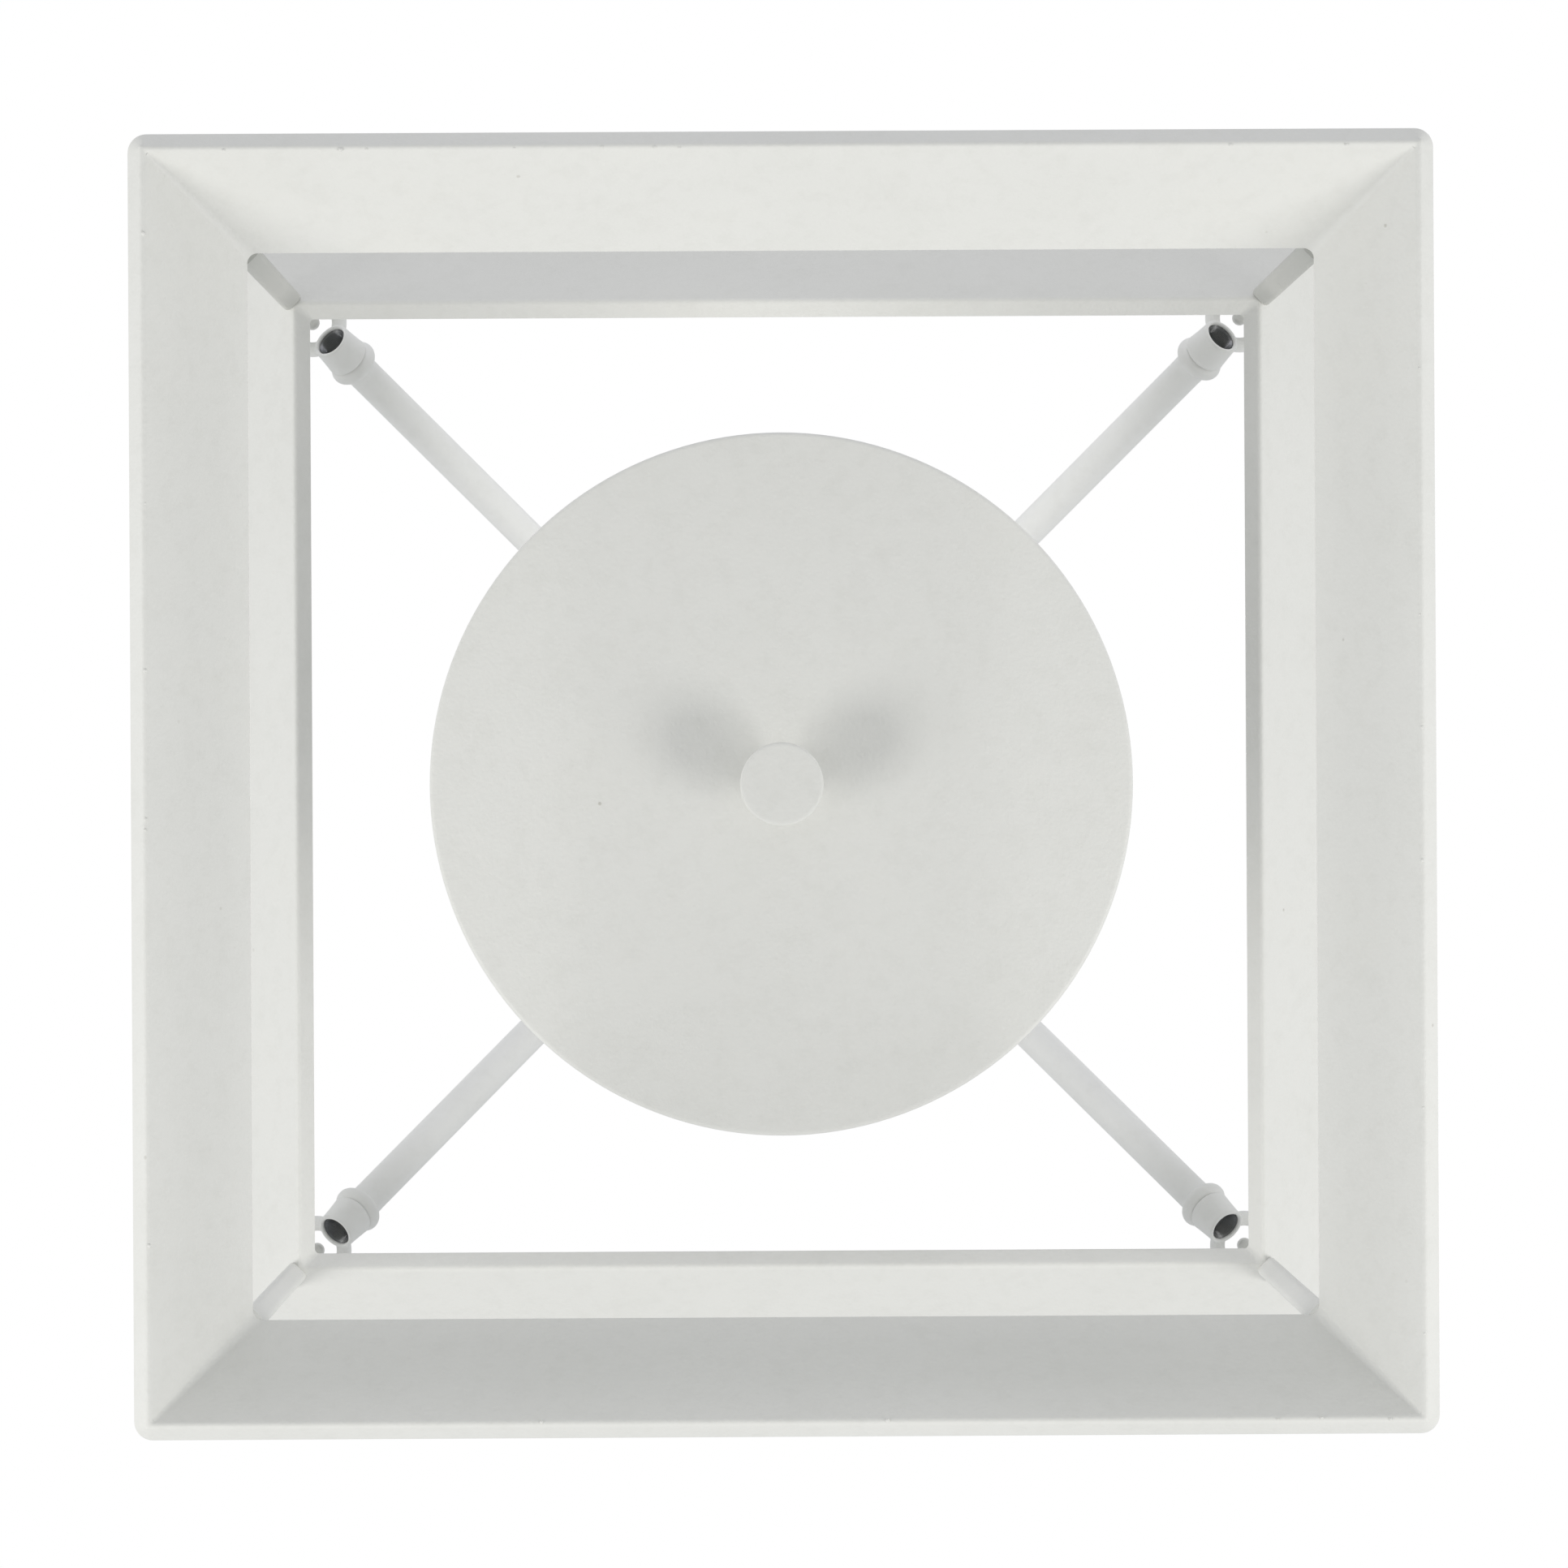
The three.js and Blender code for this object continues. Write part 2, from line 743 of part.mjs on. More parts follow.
place("canopy", canopy(), COATING);
place(
  "canopy_collar",
  turned(
    [
      [5.4, canopyFoot - GAP],
      [15, canopyFoot - GAP],
      [15, canopyFoot - 2],
      [12.4, canopyFoot - 4.4],
      [5.4, canopyFoot - 4.4],
    ],
    36,
  ),
  COATING,
);

const barFoot = TOTAL_HEIGHT - BAR_THICK;
const slab = box(-BAR_LONG / 2, BAR_LONG / 2, -BAR_WIDE / 2, BAR_WIDE / 2, barFoot, TOTAL_HEIGHT);
const boxScrew = BOX_SCREW_SPACING / 2;
const barHoles = [-screwOut, -boxScrew, boxScrew, screwOut].map((x) =>
  bar(screwHole, barFoot - 3, TOTAL_HEIGHT + 2, 16).translate(x, 0, 0),
);
const nippleHole = bar(5.4, barFoot - 3, TOTAL_HEIGHT - 1.4, 24);
place("mounting_bar", cut(slab, nippleHole, ...barHoles), STEEL);

[-screwOut, screwOut].forEach((x, i) => {
  const screw = turned(
    [
      [0, canopyFoot - 3.4],
      [2.6, canopyFoot - 3.2],
      [4.4, canopyFoot - 1.8],
      [4.6, canopyFoot - GAP],
      [2, canopyFoot - GAP],
      [2, TOTAL_HEIGHT - 0.6],
      [0, TOTAL_HEIGHT - 0.6],
    ],
    20,
  );
  place("canopy_screw_" + (i + 1), screw.translate(x, 0, 0), COATING);
});

export default lantern;
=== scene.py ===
"""Square hanging lantern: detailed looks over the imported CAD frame, seen from straight below."""
import math
import random

import bpy
import numpy as np
from mathutils import Matrix, Vector, noise


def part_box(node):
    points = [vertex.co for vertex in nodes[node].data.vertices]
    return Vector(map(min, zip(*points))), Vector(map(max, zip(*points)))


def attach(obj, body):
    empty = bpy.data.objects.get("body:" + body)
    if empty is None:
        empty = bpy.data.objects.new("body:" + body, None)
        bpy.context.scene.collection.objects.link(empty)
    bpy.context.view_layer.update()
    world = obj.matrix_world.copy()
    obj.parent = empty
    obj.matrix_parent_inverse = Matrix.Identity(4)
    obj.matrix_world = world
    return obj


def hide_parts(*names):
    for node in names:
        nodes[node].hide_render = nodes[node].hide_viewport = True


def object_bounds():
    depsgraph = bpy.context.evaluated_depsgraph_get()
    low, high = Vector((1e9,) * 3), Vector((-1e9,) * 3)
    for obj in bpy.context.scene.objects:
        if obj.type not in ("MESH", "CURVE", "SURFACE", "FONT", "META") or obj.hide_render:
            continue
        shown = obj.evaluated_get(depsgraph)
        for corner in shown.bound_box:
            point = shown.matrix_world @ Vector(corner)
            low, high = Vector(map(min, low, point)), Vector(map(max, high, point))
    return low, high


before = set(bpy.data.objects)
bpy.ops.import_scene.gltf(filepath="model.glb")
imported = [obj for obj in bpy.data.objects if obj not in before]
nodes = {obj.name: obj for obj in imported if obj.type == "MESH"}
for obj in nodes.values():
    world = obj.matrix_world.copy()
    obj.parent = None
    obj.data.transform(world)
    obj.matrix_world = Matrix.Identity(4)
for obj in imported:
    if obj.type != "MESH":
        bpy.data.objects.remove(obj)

MM = 0.001
cad_box = [list(v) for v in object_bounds()]
LENS_MM = 200.2
CAMERA_BELOW = 3.0  # metres under the lowest point
CAMERA_ASIDE = -0.0157
CAMERA_ROLL = math.radians(-0.302)
rng = random.Random(7)


# ---------------------------------------------------------------- camera
def make_camera():
    """Straight below and 16 mm off the axis, rolled a third of a degree as in the photograph."""
    data = bpy.data.cameras.new("camera")
    data.sensor_width = 36.0
    data.lens = LENS_MM
    data.clip_end = 60.0
    cam = bpy.data.objects.new("camera", data)
    bpy.context.scene.collection.objects.link(cam)
    foot = Vector((0.0, 0.0, cad_box[0][2]))
    cam.location = foot + Vector((CAMERA_ASIDE, 0.0, -CAMERA_BELOW))
    back = (cam.location - foot).normalized()
    up = Vector((0.0, -1.0, 0.0)) * math.cos(CAMERA_ROLL) - Vector((1.0, 0.0, 0.0)) * math.sin(CAMERA_ROLL)
    right = up.cross(back).normalized()
    up = back.cross(right)
    cam.rotation_euler = Matrix((right, up, back)).transposed().to_euler()
    bpy.context.scene.camera = cam


make_camera()


# ---------------------------------------------------------------- materials
def tree_of(name):
    mat = bpy.data.materials.new(name)
    mat.use_nodes = True
    tree = mat.node_tree
    return mat, tree, tree.nodes["Principled BSDF"]


def link(tree, a, b):
    tree.links.new(a, b)


def noise_node(tree, coords, scale, detail=3.0, rough=0.55, distort=0.0):
    n = tree.nodes.new("ShaderNodeTexNoise")
    n.inputs["Scale"].default_value = scale
    n.inputs["Detail"].default_value = detail
    n.inputs["Roughness"].default_value = rough
    n.inputs["Distortion"].default_value = distort
    link(tree, coords, n.inputs["Vector"])
    return n


def ramp_node(tree, value, stops):
    r = tree.nodes.new("ShaderNodeValToRGB")
    while len(r.color_ramp.elements) < len(stops):
        r.color_ramp.elements.new(0.5)
    for e, (at, col) in zip(r.color_ramp.elements, stops):
        e.position = at
        e.color = (*col, 1.0) if len(col) == 3 else col
    link(tree, value, r.inputs["Fac"])
    return r


def mix_node(tree, fac, a, b, mode="MIX"):
    m = tree.nodes.new("ShaderNodeMix")
    m.data_type = "RGBA"
    m.blend_type = mode
    for socket, value in ((m.inputs[0], fac), (m.inputs[6], a), (m.inputs[7], b)):
        if isinstance(value, bpy.types.NodeSocket):
            link(tree, value, socket)
        elif isinstance(value, (int, float)):
            socket.default_value = value
        else:
            socket.default_value = (*value, 1.0)
    return m.outputs[2]


def math_node(tree, op, a, b=None):
    m = tree.nodes.new("ShaderNodeMath")
    m.operation = op
    for socket, value in zip(m.inputs, (a, b)):
        if value is None:
            continue
        if isinstance(value, bpy.types.NodeSocket):
            link(tree, value, socket)
        else:
            socket.default_value = value
    return m.outputs[0]


def bump_node(tree, height, strength, distance, normal=None):
    b = tree.nodes.new("ShaderNodeBump")
    b.inputs["Strength"].default_value = strength
    b.inputs["Distance"].default_value = distance
    link(tree, height, b.inputs["Height"])
    if normal is not None:
        link(tree, normal, b.inputs["Normal"])
    return b.outputs["Normal"]


COAT = (0.800, 0.800, 0.772)
# Painted shade: the bars on the picture's upper side (y below 0) are painted darker towards the foot, as they
# look in the photograph.
POST_LOW = (0.56, 0.57, 0.555)
POST_MID = (0.66, 0.66, 0.645)
POST_HIGH = (0.82, 0.82, 0.80)
POST_OTHER = (0.97, 0.97, 0.97)
POST_FOOT_Z, POST_TOP_Z = -0.701, -0.414


def coat(name, seed, tint=COAT, peel=1.0, rough=0.52, post=False):
    """Sprayed powder coat: orange peel, soft patches of tone, pinholes and a few nibs; with post, painted shade
    that darkens the bars on the y below 0 side towards the foot.
    """
    mat, t, p = tree_of(name)
    geo = t.nodes.new("ShaderNodeTexCoord")
    shift = t.nodes.new("ShaderNodeMapping")
    shift.inputs["Location"].default_value = (seed * 1.7, seed * 0.9, seed * 2.3)
    link(t, geo.outputs["Object"], shift.inputs["Vector"])
    co = shift.outputs["Vector"]
    patch = noise_node(t, co, 9.0, 4.0, 0.6, 0.4)
    dust = noise_node(t, co, 140.0, 5.0, 0.65)
    fine = noise_node(t, co, 760.0, 3.0, 0.6)
    dark = tuple(c * k for c, k in zip(tint, (0.975, 0.976, 0.972)))
    warm = tuple(c * k for c, k in zip(tint, (1.006, 1.004, 0.996)))
    base = ramp_node(t, patch.outputs["Fac"], [(0.30, dark), (0.55, tint), (0.78, warm)])
    grime = ramp_node(t, dust.outputs["Fac"], [(0.30, (0.96, 0.96, 0.955)), (0.52, (1, 1, 1))])
    col = mix_node(t, 0.75, base.outputs["Color"], grime.outputs["Color"], "MULTIPLY")
    cells = t.nodes.new("ShaderNodeTexVoronoi")
    cells.inputs["Scale"].default_value = 60.0
    cells.inputs["Randomness"].default_value = 1.0
    link(t, co, cells.inputs["Vector"])
    spots = [(0.0, (0.72, 0.71, 0.68)), (0.028, (0.78, 0.77, 0.74)), (0.05, (1, 1, 1))]
    speck = ramp_node(t, cells.outputs["Distance"], spots)
    few = ramp_node(t, patch.outputs["Fac"], [(0.52, (0, 0, 0)), (0.60, (1, 1, 1))])
    col = mix_node(t, few.outputs["Color"], col, mix_node(t, 1.0, col, speck.outputs["Color"], "MULTIPLY"))
    # Painted shade: on the y below 0 side the bars' colour is darkened from top to foot, by height and side.
    if post:
        split = t.nodes.new("ShaderNodeSeparateXYZ")
        link(t, geo.outputs["Object"], split.inputs["Vector"])
        rise = t.nodes.new("ShaderNodeMapRange")
        rise.inputs["From Min"].default_value = POST_FOOT_Z
        rise.inputs["From Max"].default_value = POST_TOP_Z
        link(t, split.outputs["Z"], rise.inputs["Value"])
        painted_shade_ramp = ramp_node(t, rise.outputs["Result"], [(0.0, POST_LOW), (0.45, POST_MID), (1.0, POST_HIGH)])
        side = math_node(t, "LESS_THAN", split.outputs["Y"], 0.0)
        other = mix_node(t, 1.0, col, POST_OTHER, "MULTIPLY")
        col = mix_node(t, side, other, mix_node(t, 1.0, col, painted_shade_ramp.outputs["Color"], "MULTIPLY"))
    link(t, col, p.inputs["Base Color"])
    wet = math_node(t, "MULTIPLY_ADD", dust.outputs["Fac"], 0.16)
    wet.node.inputs[2].default_value = rough - 0.08
    link(t, wet, p.inputs["Roughness"])
    p.inputs["Specular IOR Level"].default_value = 0.42
    pebble = t.nodes.new("ShaderNodeTexVoronoi")
    pebble.feature = "SMOOTH_F1"
    pebble.inputs["Scale"].default_value = 640.0
    link(t, co, pebble.inputs["Vector"])
    height = math_node(t, "ADD", fine.outputs["Fac"], pebble.outputs["Distance"])
    n1 = bump_node(t, height, 0.30 * peel, 0.00035)
    wave = noise_node(t, co, 34.0, 2.0, 0.5)
    n2 = bump_node(t, wave.outputs["Fac"], 0.22 * peel, 0.0012, n1)
    nib = ramp_node(t, cells.outputs["Distance"], [(0.0, (1, 1, 1)), (0.05, (0, 0, 0))])
    n3 = bump_node(t, mix_node(t, few.outputs["Color"], (0, 0, 0), nib.outputs["Color"]), 0.35, 0.0006, n2)
    link(t, n3, p.inputs["Normal"])
    return mat


def zinc(name, seed, tone=1.0):
    """Zinc plated steel: fine brushed grain and faint spangle; tone darkens it, used as painted shade on the
    insert deep in the ferrule's bore.
    """
    mat, t, p = tree_of(name)
    geo = t.nodes.new("ShaderNodeTexCoord")
    stretch = t.nodes.new("ShaderNodeMapping")
    stretch.inputs["Location"].default_value = (seed, seed, seed)
    stretch.inputs["Scale"].default_value = (1.0, 1.0, 14.0)
    link(t, geo.outputs["Object"], stretch.inputs["Vector"])
    grain = noise_node(t, stretch.outputs["Vector"], 420.0, 4.0, 0.6)
    spangle = noise_node(t, geo.outputs["Object"], 90.0, 2.0, 0.5)
    low, high = (tuple(tone * v for v in c) for c in ((0.36, 0.37, 0.38), (0.56, 0.57, 0.58)))
    col = ramp_node(t, grain.outputs["Fac"], [(0.3, low), (0.7, high)])
    tone = ramp_node(t, spangle.outputs["Fac"], [(0.35, (0.86, 0.88, 0.90)), (0.65, (1.0, 0.99, 0.96))])
    link(t, mix_node(t, 1.0, col.outputs["Color"], tone.outputs["Color"], "MULTIPLY"), p.inputs["Base Color"])
    p.inputs["Metallic"].default_value = 1.0
    r = ramp_node(t, grain.outputs["Fac"], [(0.3, (0.26,) * 3), (0.7, (0.46,) * 3)])
    link(t, r.outputs["Color"], p.inputs["Roughness"])
    link(t, bump_node(t, grain.outputs["Fac"], 0.25, 0.0002), p.inputs["Normal"])
    return mat


def linen(name, seed):
    """Satin candle sleeve: slightly mottled ivory plastic with faint vertical drag marks."""
    mat, t, p = tree_of(name)
    geo = t.nodes.new("ShaderNodeTexCoord")
    drag = t.nodes.new("ShaderNodeMapping")
    drag.inputs["Location"].default_value = (seed, 0, 0)
    drag.inputs["Scale"].default_value = (1.0, 1.0, 0.06)
    link(t, geo.outputs["Object"], drag.inputs["Vector"])
    streak = noise_node(t, drag.outputs["Vector"], 380.0, 3.0, 0.6)
    patch = noise_node(t, geo.outputs["Object"], 45.0, 3.0, 0.5)
    a = ramp_node(t, patch.outputs["Fac"], [(0.3, (0.78, 0.75, 0.68)), (0.7, (0.85, 0.83, 0.77))])
    b = ramp_node(t, streak.outputs["Fac"], [(0.35, (0.95, 0.95, 0.94)), (0.6, (1, 1, 1))])
    link(t, mix_node(t, 1.0, a.outputs["Color"], b.outputs["Color"], "MULTIPLY"), p.inputs["Base Color"])
    p.inputs["Roughness"].default_value = 0.42
    p.inputs["Subsurface Weight"].default_value = 0.08
    p.inputs["Subsurface Radius"].default_value = (0.004, 0.003, 0.002)
    link(t, bump_node(t, streak.outputs["Fac"], 0.18, 0.0003), p.inputs["Normal"])
    return mat


def moulded(name):
    """Dark moulded lamp holder."""
    mat, t, p = tree_of(name)
    geo = t.nodes.new("ShaderNodeTexCoord")
    grit = noise_node(t, geo.outputs["Object"], 900.0, 3.0, 0.6)
    c = ramp_node(t, grit.outputs["Fac"], [(0.3, (0.018, 0.018, 0.019)), (0.7, (0.040, 0.039, 0.038))])
    link(t, c.outputs["Color"], p.inputs["Base Color"])
    r = ramp_node(t, grit.outputs["Fac"], [(0.3, (0.38,) * 3), (0.7, (0.58,) * 3)])
    link(t, r.outputs["Color"], p.inputs["Roughness"])
    link(t, bump_node(t, grit.outputs["Fac"], 0.3, 0.0002), p.inputs["Normal"])
    return mat


def frosted(name):
    """Candle lamp glass with a faint uneven frosting."""
    mat, t, p = tree_of(name)
    geo = t.nodes.new("ShaderNodeTexCoord")
    haze = noise_node(t, geo.outputs["Object"], 120.0, 3.0, 0.5)
    c = ramp_node(t, haze.outputs["Fac"], [(0.3, (0.90, 0.93, 0.93)), (0.7, (0.97, 0.98, 0.97))])
    link(t, c.outputs["Color"], p.inputs["Base Color"])
    r = ramp_node(t, haze.outputs["Fac"], [(0.3, (0.16,) * 3), (0.7, (0.30,) * 3)])
    link(t, r.outputs["Color"], p.inputs["Roughness"])
    p.inputs["Transmission Weight"].default_value = 0.88
    p.inputs["IOR"].default_value = 1.45
    link(t, bump_node(t, haze.outputs["Fac"], 0.06, 0.0004), p.inputs["Normal"])
    return mat


def brass(name):
    mat, t, p = tree_of(name)
    geo = t.nodes.new("ShaderNodeTexCoord")
    rub = noise_node(t, geo.outputs["Object"], 300.0, 4.0, 0.6)
    c = ramp_node(t, rub.outputs["Fac"], [(0.3, (0.50, 0.40, 0.20)), (0.7, (0.74, 0.60, 0.32))])
    link(t, c.outputs["Color"], p.inputs["Base Color"])
    p.inputs["Metallic"].default_value = 1.0
    r = ramp_node(t, rub.outputs["Fac"], [(0.3, (0.25,) * 3), (0.7, (0.42,) * 3)])
    link(t, r.outputs["Color"], p.inputs["Roughness"])
    link(t, bump_node(t, rub.outputs["Fac"], 0.15, 0.0002), p.inputs["Normal"])
    return mat


COAT_FRAME = coat("coat_frame", 1.0)
# Painted light: the rods, eye rings, ferrules, hub, collars and centre tube get a lighter copy of the white coat,
# standing in for light that falls on them.
COAT_ROD = coat("coat_rod", 2.0, (0.945, 0.945, 0.93), peel=0.5)
# The corner bars' coat, carrying painted shade on the y below 0 side.
COAT_POST = coat("coat_post", 5.0, post=True)
COAT_TRAY = coat("coat_tray", 3.0, peel=1.25)
COAT_TOP = coat("coat_top", 4.0)
ZINC = zinc("zinc_steel", 1.0)
# Painted shade: the thread insert's zinc is darkened to about a third, standing in for the shade deep inside the
# ferrule's bore.
BORE = zinc("zinc_insert", 2.0, 0.34)
LINEN = linen("candle_ivory", 1.0)
HOLDER = moulded("holder_black")
GLASS = frosted("lamp_glass")
BRASS = brass("lamp_cap")


# ---------------------------------------------------------------- mesh helpers
def make(name, verts, faces, mat, body, replaces=(), sharp=32.0):
    mesh = bpy.data.meshes.new(name)
    mesh.from_pydata([tuple(v) for v in verts], [], faces)
    mesh.validate()
    mesh.update()
    mesh.polygons.foreach_set("use_smooth", [True] * len(mesh.polygons))
    mesh.set_sharp_from_angle(angle=math.radians(sharp))
    obj = bpy.data.objects.new(name, mesh)
    bpy.context.scene.collection.objects.link(obj)
    obj.data.materials.append(mat)
    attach(obj, body)
    if replaces:
        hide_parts(*replaces)
    return obj


def bridge(rings, closed_along, caps=True):
    """Faces joining equal rings of points; closed_along joins the last ring to the first."""
    n = len(rings[0])
    count = len(rings)
    verts = [p for ring in rings for p in ring]
    faces = []
    for i in range(count if closed_along else count - 1):
        j = (i + 1) % count
        for k in range(n):
            m = (k + 1) % n
            faces.append((i * n + k, i * n + m, j * n + m, j * n + k))
    if not closed_along and caps:
        faces.append(tuple(range(n))[::-1])
        faces.append(tuple((count - 1) * n + k for k in range(n)))
    return verts, faces


def rounded(points, radii, steps=4):
    """A closed outline with its corners turned into arcs."""
    out = []
    n = len(points)
    for i in range(n):
        a, b, c = (Vector(points[(i + d) % n]) for d in (-1, 0, 1))
        r = radii[i] if isinstance(radii, (list, tuple)) else radii
        u, v = (a - b).normalized(), (c - b).normalized()
        half = u.angle(v) / 2
        cut = min(r / math.tan(half), (a - b).length * 0.48, (c - b).length * 0.48)
        if r <= 0 or cut < 1e-6:
            out.append(tuple(b))
            continue
        p, q = b + u * cut, b + v * cut
        for s in range(steps + 1):
            t = s / steps
            out.append(tuple(p * (1 - t) ** 2 + b * (2 * t * (1 - t)) + q * t * t))
    return out


def square_ring(half, corner, z, steps):
    ring = []
    for q in range(4):
        turn = Matrix.Rotation(q * math.pi / 2, 3, "Z")
        for s in range(steps + 1):
            a = s / steps * math.pi / 2
            p = Vector((half - corner + corner * math.cos(a), half - corner + corner * math.sin(a), z))
            ring.append(turn @ p)
    return ring


def square_frame(name, outline, corner_at, node, mat, body="cage", steps=6):
    """A closed (half width, z) outline carried round a square; corner_at gives each point's corner radius."""
    rings = [square_ring(h, corner_at(h, z), z, steps) for h, z in outline]
    verts, faces = bridge(rings, True)
    return make(name, verts, faces, mat, body, (node,), sharp=40)


def lathe(name, outline, segments, mat, body, replaces=(), where=None, sharp=32.0):
    """A (radius, z) outline turned about Z, then moved by where."""
    where = where or Matrix.Identity(4)
    verts, faces, rows = [], [], []
    for r, z in outline:
        if r < 1e-7:
            rows.append([len(verts)])
            verts.append(where @ Vector((0, 0, z)))
            continue
        rows.append(list(range(len(verts), len(verts) + segments)))
        for k in range(segments):
            a = 2 * math.pi * k / segments
            verts.append(where @ Vector((r * math.cos(a), r * math.sin(a), z)))
    closed = outline[0][0] > 1e-7
    pairs = list(zip(rows, rows[1:])) + ([(rows[-1], rows[0])] if closed else [])
    for a, b in pairs:
        if len(a) == 1 and len(b) == 1:
            continue
        for k in range(segments):
            m = (k + 1) % segments
            if len(a) == 1:
                faces.append((a[0], b[m], b[k]))
            elif len(b) == 1:
                faces.append((a[k], a[m], b[0]))
            else:
                faces.append((a[k], a[m], b[m], b[k]))
    return make(name, verts, faces, mat, body, replaces, sharp)


def sweep(points, radius, sides=20, dome=0.7, domed=(True, True)):
    """Rings of a round bar along points, its ends domed."""
    pts = [Vector(p) for p in points]
    side = (pts[1] - pts[0]).orthogonal().normalized()
    rings = []

    def ring(centre, tangent, r):
        nonlocal side
        side = (side - tangent * side.dot(tangent)).normalized()
        other = tangent.cross(side)
        turn = [2 * math.pi * k / sides for k in range(sides)]
        return [centre + (side * math.cos(a) + other * math.sin(a)) * r for a in turn]

    angles = [math.radians(a) for a in (8, 26, 46, 68)]
    h = dome * radius
    for i, p in enumerate(pts):
        t = (pts[min(i + 1, len(pts) - 1)] - pts[max(i - 1, 0)]).normalized()
        if i == 0 and domed[0]:
            rings += [ring(p + t * h * (1 - math.cos(a)), t, radius * math.sin(a)) for a in angles]
            p = p + t * h
        if i == len(pts) - 1 and domed[1]:
            rings.append(ring(p - t * h, t, radius))
            rings += [ring(p - t * h * (1 - math.cos(a)), t, radius * math.sin(a)) for a in angles[::-1]]
            continue
        rings.append(ring(p, t, radius))
    return rings


def bar(name, points, radius, mat, body, replaces=(), sides=20, **more):
    verts, faces = bridge(sweep(points, radius, sides, **more), False)
    return make(name, verts, faces, mat, body, replaces, sharp=50)


def blob(name, centre, size, mat, body, seed=0, squash=(1, 1, 1), rough=0.18):
    """A small lumpy bead, as of weld metal under paint."""
    verts, faces = [], []
    rows, cols = 9, 16
    for i in range(rows + 1):
        lat = -math.pi / 2 + math.pi * i / rows
        for k in range(cols):
            lon = 2 * math.pi * k / cols
            d = Vector((math.cos(lat) * math.cos(lon), math.cos(lat) * math.sin(lon), math.sin(lat)))
            lump = 1 + rough * noise.noise(d * 2.3 + Vector((seed * 3.1, seed, 0)))
            verts.append(Vector(centre) + Vector(a * b for a, b in zip(d * size * lump, squash)))
    for i in range(rows):
        for k in range(cols):
            m = (k + 1) % cols
            faces.append((i * cols + k, i * cols + m, (i + 1) * cols + m, (i + 1) * cols + k))
    return make(name, verts, faces, mat, body, sharp=180)


def points_of(node):
    return np.array([v.co for v in nodes[node].data.vertices], float)


def inner_half(node):
    p = np.abs(points_of(node)[:, :2]).max(1)
    return float(p.min())


def ends_of(node):
    """The middles of the two ends of a straight round bar: the lower end first."""
    p = points_of(node)
    mid = p.mean(0)
    along = np.linalg.svd(p - mid, full_matrices=False)[2][0]
    if along[2] < 0:
        along = -along
    t = (p - mid) @ along
    low, high = mid + along * t.min(), mid + along * t.max()
    return Vector(low), Vector(high), Vector(along)


# ---------------------------------------------------------------- cage
rim_lo, rim_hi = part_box("bottom_rim")
top_lo, top_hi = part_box("top_rim")
plate_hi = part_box("bottom_bevel")[1]
lip_lo, lip_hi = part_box("top_lip")
crown_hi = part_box("top_bevel")[1]
outer = rim_hi.x
rim_in = inner_half("bottom_rim")
neck = inner_half("bottom_bevel")
lip_in = inner_half("top_lip")
plate_thick = 2.5 * MM
CORNER = 6.5 * MM
SOFT = 2.2 * MM  # from a fold's sharp edge to the start of its rounding
RIM_SLOPE = 7.6 * MM
LIP_RISE = 6 * MM
CROWN_BACK = 3.4 * MM
ROD_R = 6.5 * MM


def unit(a, b):
    return (Vector(b) - Vector(a)).normalized()


def fold(name, edge, one, two, corner):
    """The rounded, painted edge where two sloping faces meet; edge, one and two are (half, z)."""
    e = Vector(edge)
    p, q = e + unit(e, one) * SOFT, e + unit(e, two) * SOFT
    inside = (p + q) / 2 + ((p + q) / 2 - e) * 0.4
    arc = []
    for k in range(11):
        t = k / 10
        arc.append(tuple(p * (1 - t) ** 2 + e * (2 * t * (1 - t)) + q * t * t))
    outline = arc + [tuple(inside)]
    if (one[0] - two[0]) * (edge[1] - inside.y) > 0:
        outline = outline[::-1]
    rings = [square_ring(h, corner, z, 9) for h, z in outline]
    verts, faces = bridge(rings, True)
    return make(name, verts, faces, COAT_FRAME, "cage", sharp=60)


def rim(name, edge, far, flip):
    """A rim bar: a sloping outer face rising from the fold, an upright band and a flat back."""
    s = -1 if flip else 1
    shoulder = (outer, edge[1] + s * RIM_SLOPE)
    start = Vector(edge) + unit(edge, shoulder) * SOFT
    points = [tuple(start), shoulder, (outer, far), (rim_in, far), (rim_in, start.y + s * 0.5 * MM)]
    outline = rounded(points, [0.0, 1.5 * MM, 2.2 * MM, 0.5 * MM, 0.3 * MM], 5)

    def corner(h, z):
        return max(0.6 * MM, CORNER - (outer - h))

    return square_frame(name, outline, corner, name, COAT_FRAME, steps=9)


low_edge = (rim_in + 0.5 * MM, rim_lo.z)
high_edge = (rim_in + 0.5 * MM, top_hi.z)
rim("bottom_rim", low_edge, rim_hi.z, False)
rim("top_rim", high_edge, top_lo.z, True)


def flare(name, edge, edge_r, far, far_r, flip):
    """A sloping plate from a fold at edge to far; edge_r and far_r are its corner radii there."""
    along = unit(edge, far)
    start = Vector(edge) + along * SOFT
    normal = Vector((-along.y, along.x))
    if normal.y < 0:
        normal = -normal
    if flip:
        normal = -normal
    inner = [start, Vector(far), Vector(far) + normal * plate_thick, start + normal * plate_thick]
    outline = rounded([tuple(q) for q in inner], [0.0, 0.7 * MM, 0.7 * MM, 0.3 * MM], 4)
    span = far[0] - edge[0]

    def corner(h, z):
        t = min(1.0, max(0.0, (h - edge[0]) / span))
        return edge_r + (far_r - edge_r) * t ** 0.6

    return square_frame(name, outline, corner, name, COAT_FRAME, steps=8)


flare("bottom_bevel", low_edge, 0.7 * MM, (neck, plate_hi.z), 3.6 * MM, False)
fold("fold_low", low_edge, (outer, rim_lo.z + RIM_SLOPE), (neck, plate_hi.z), 0.8 * MM)

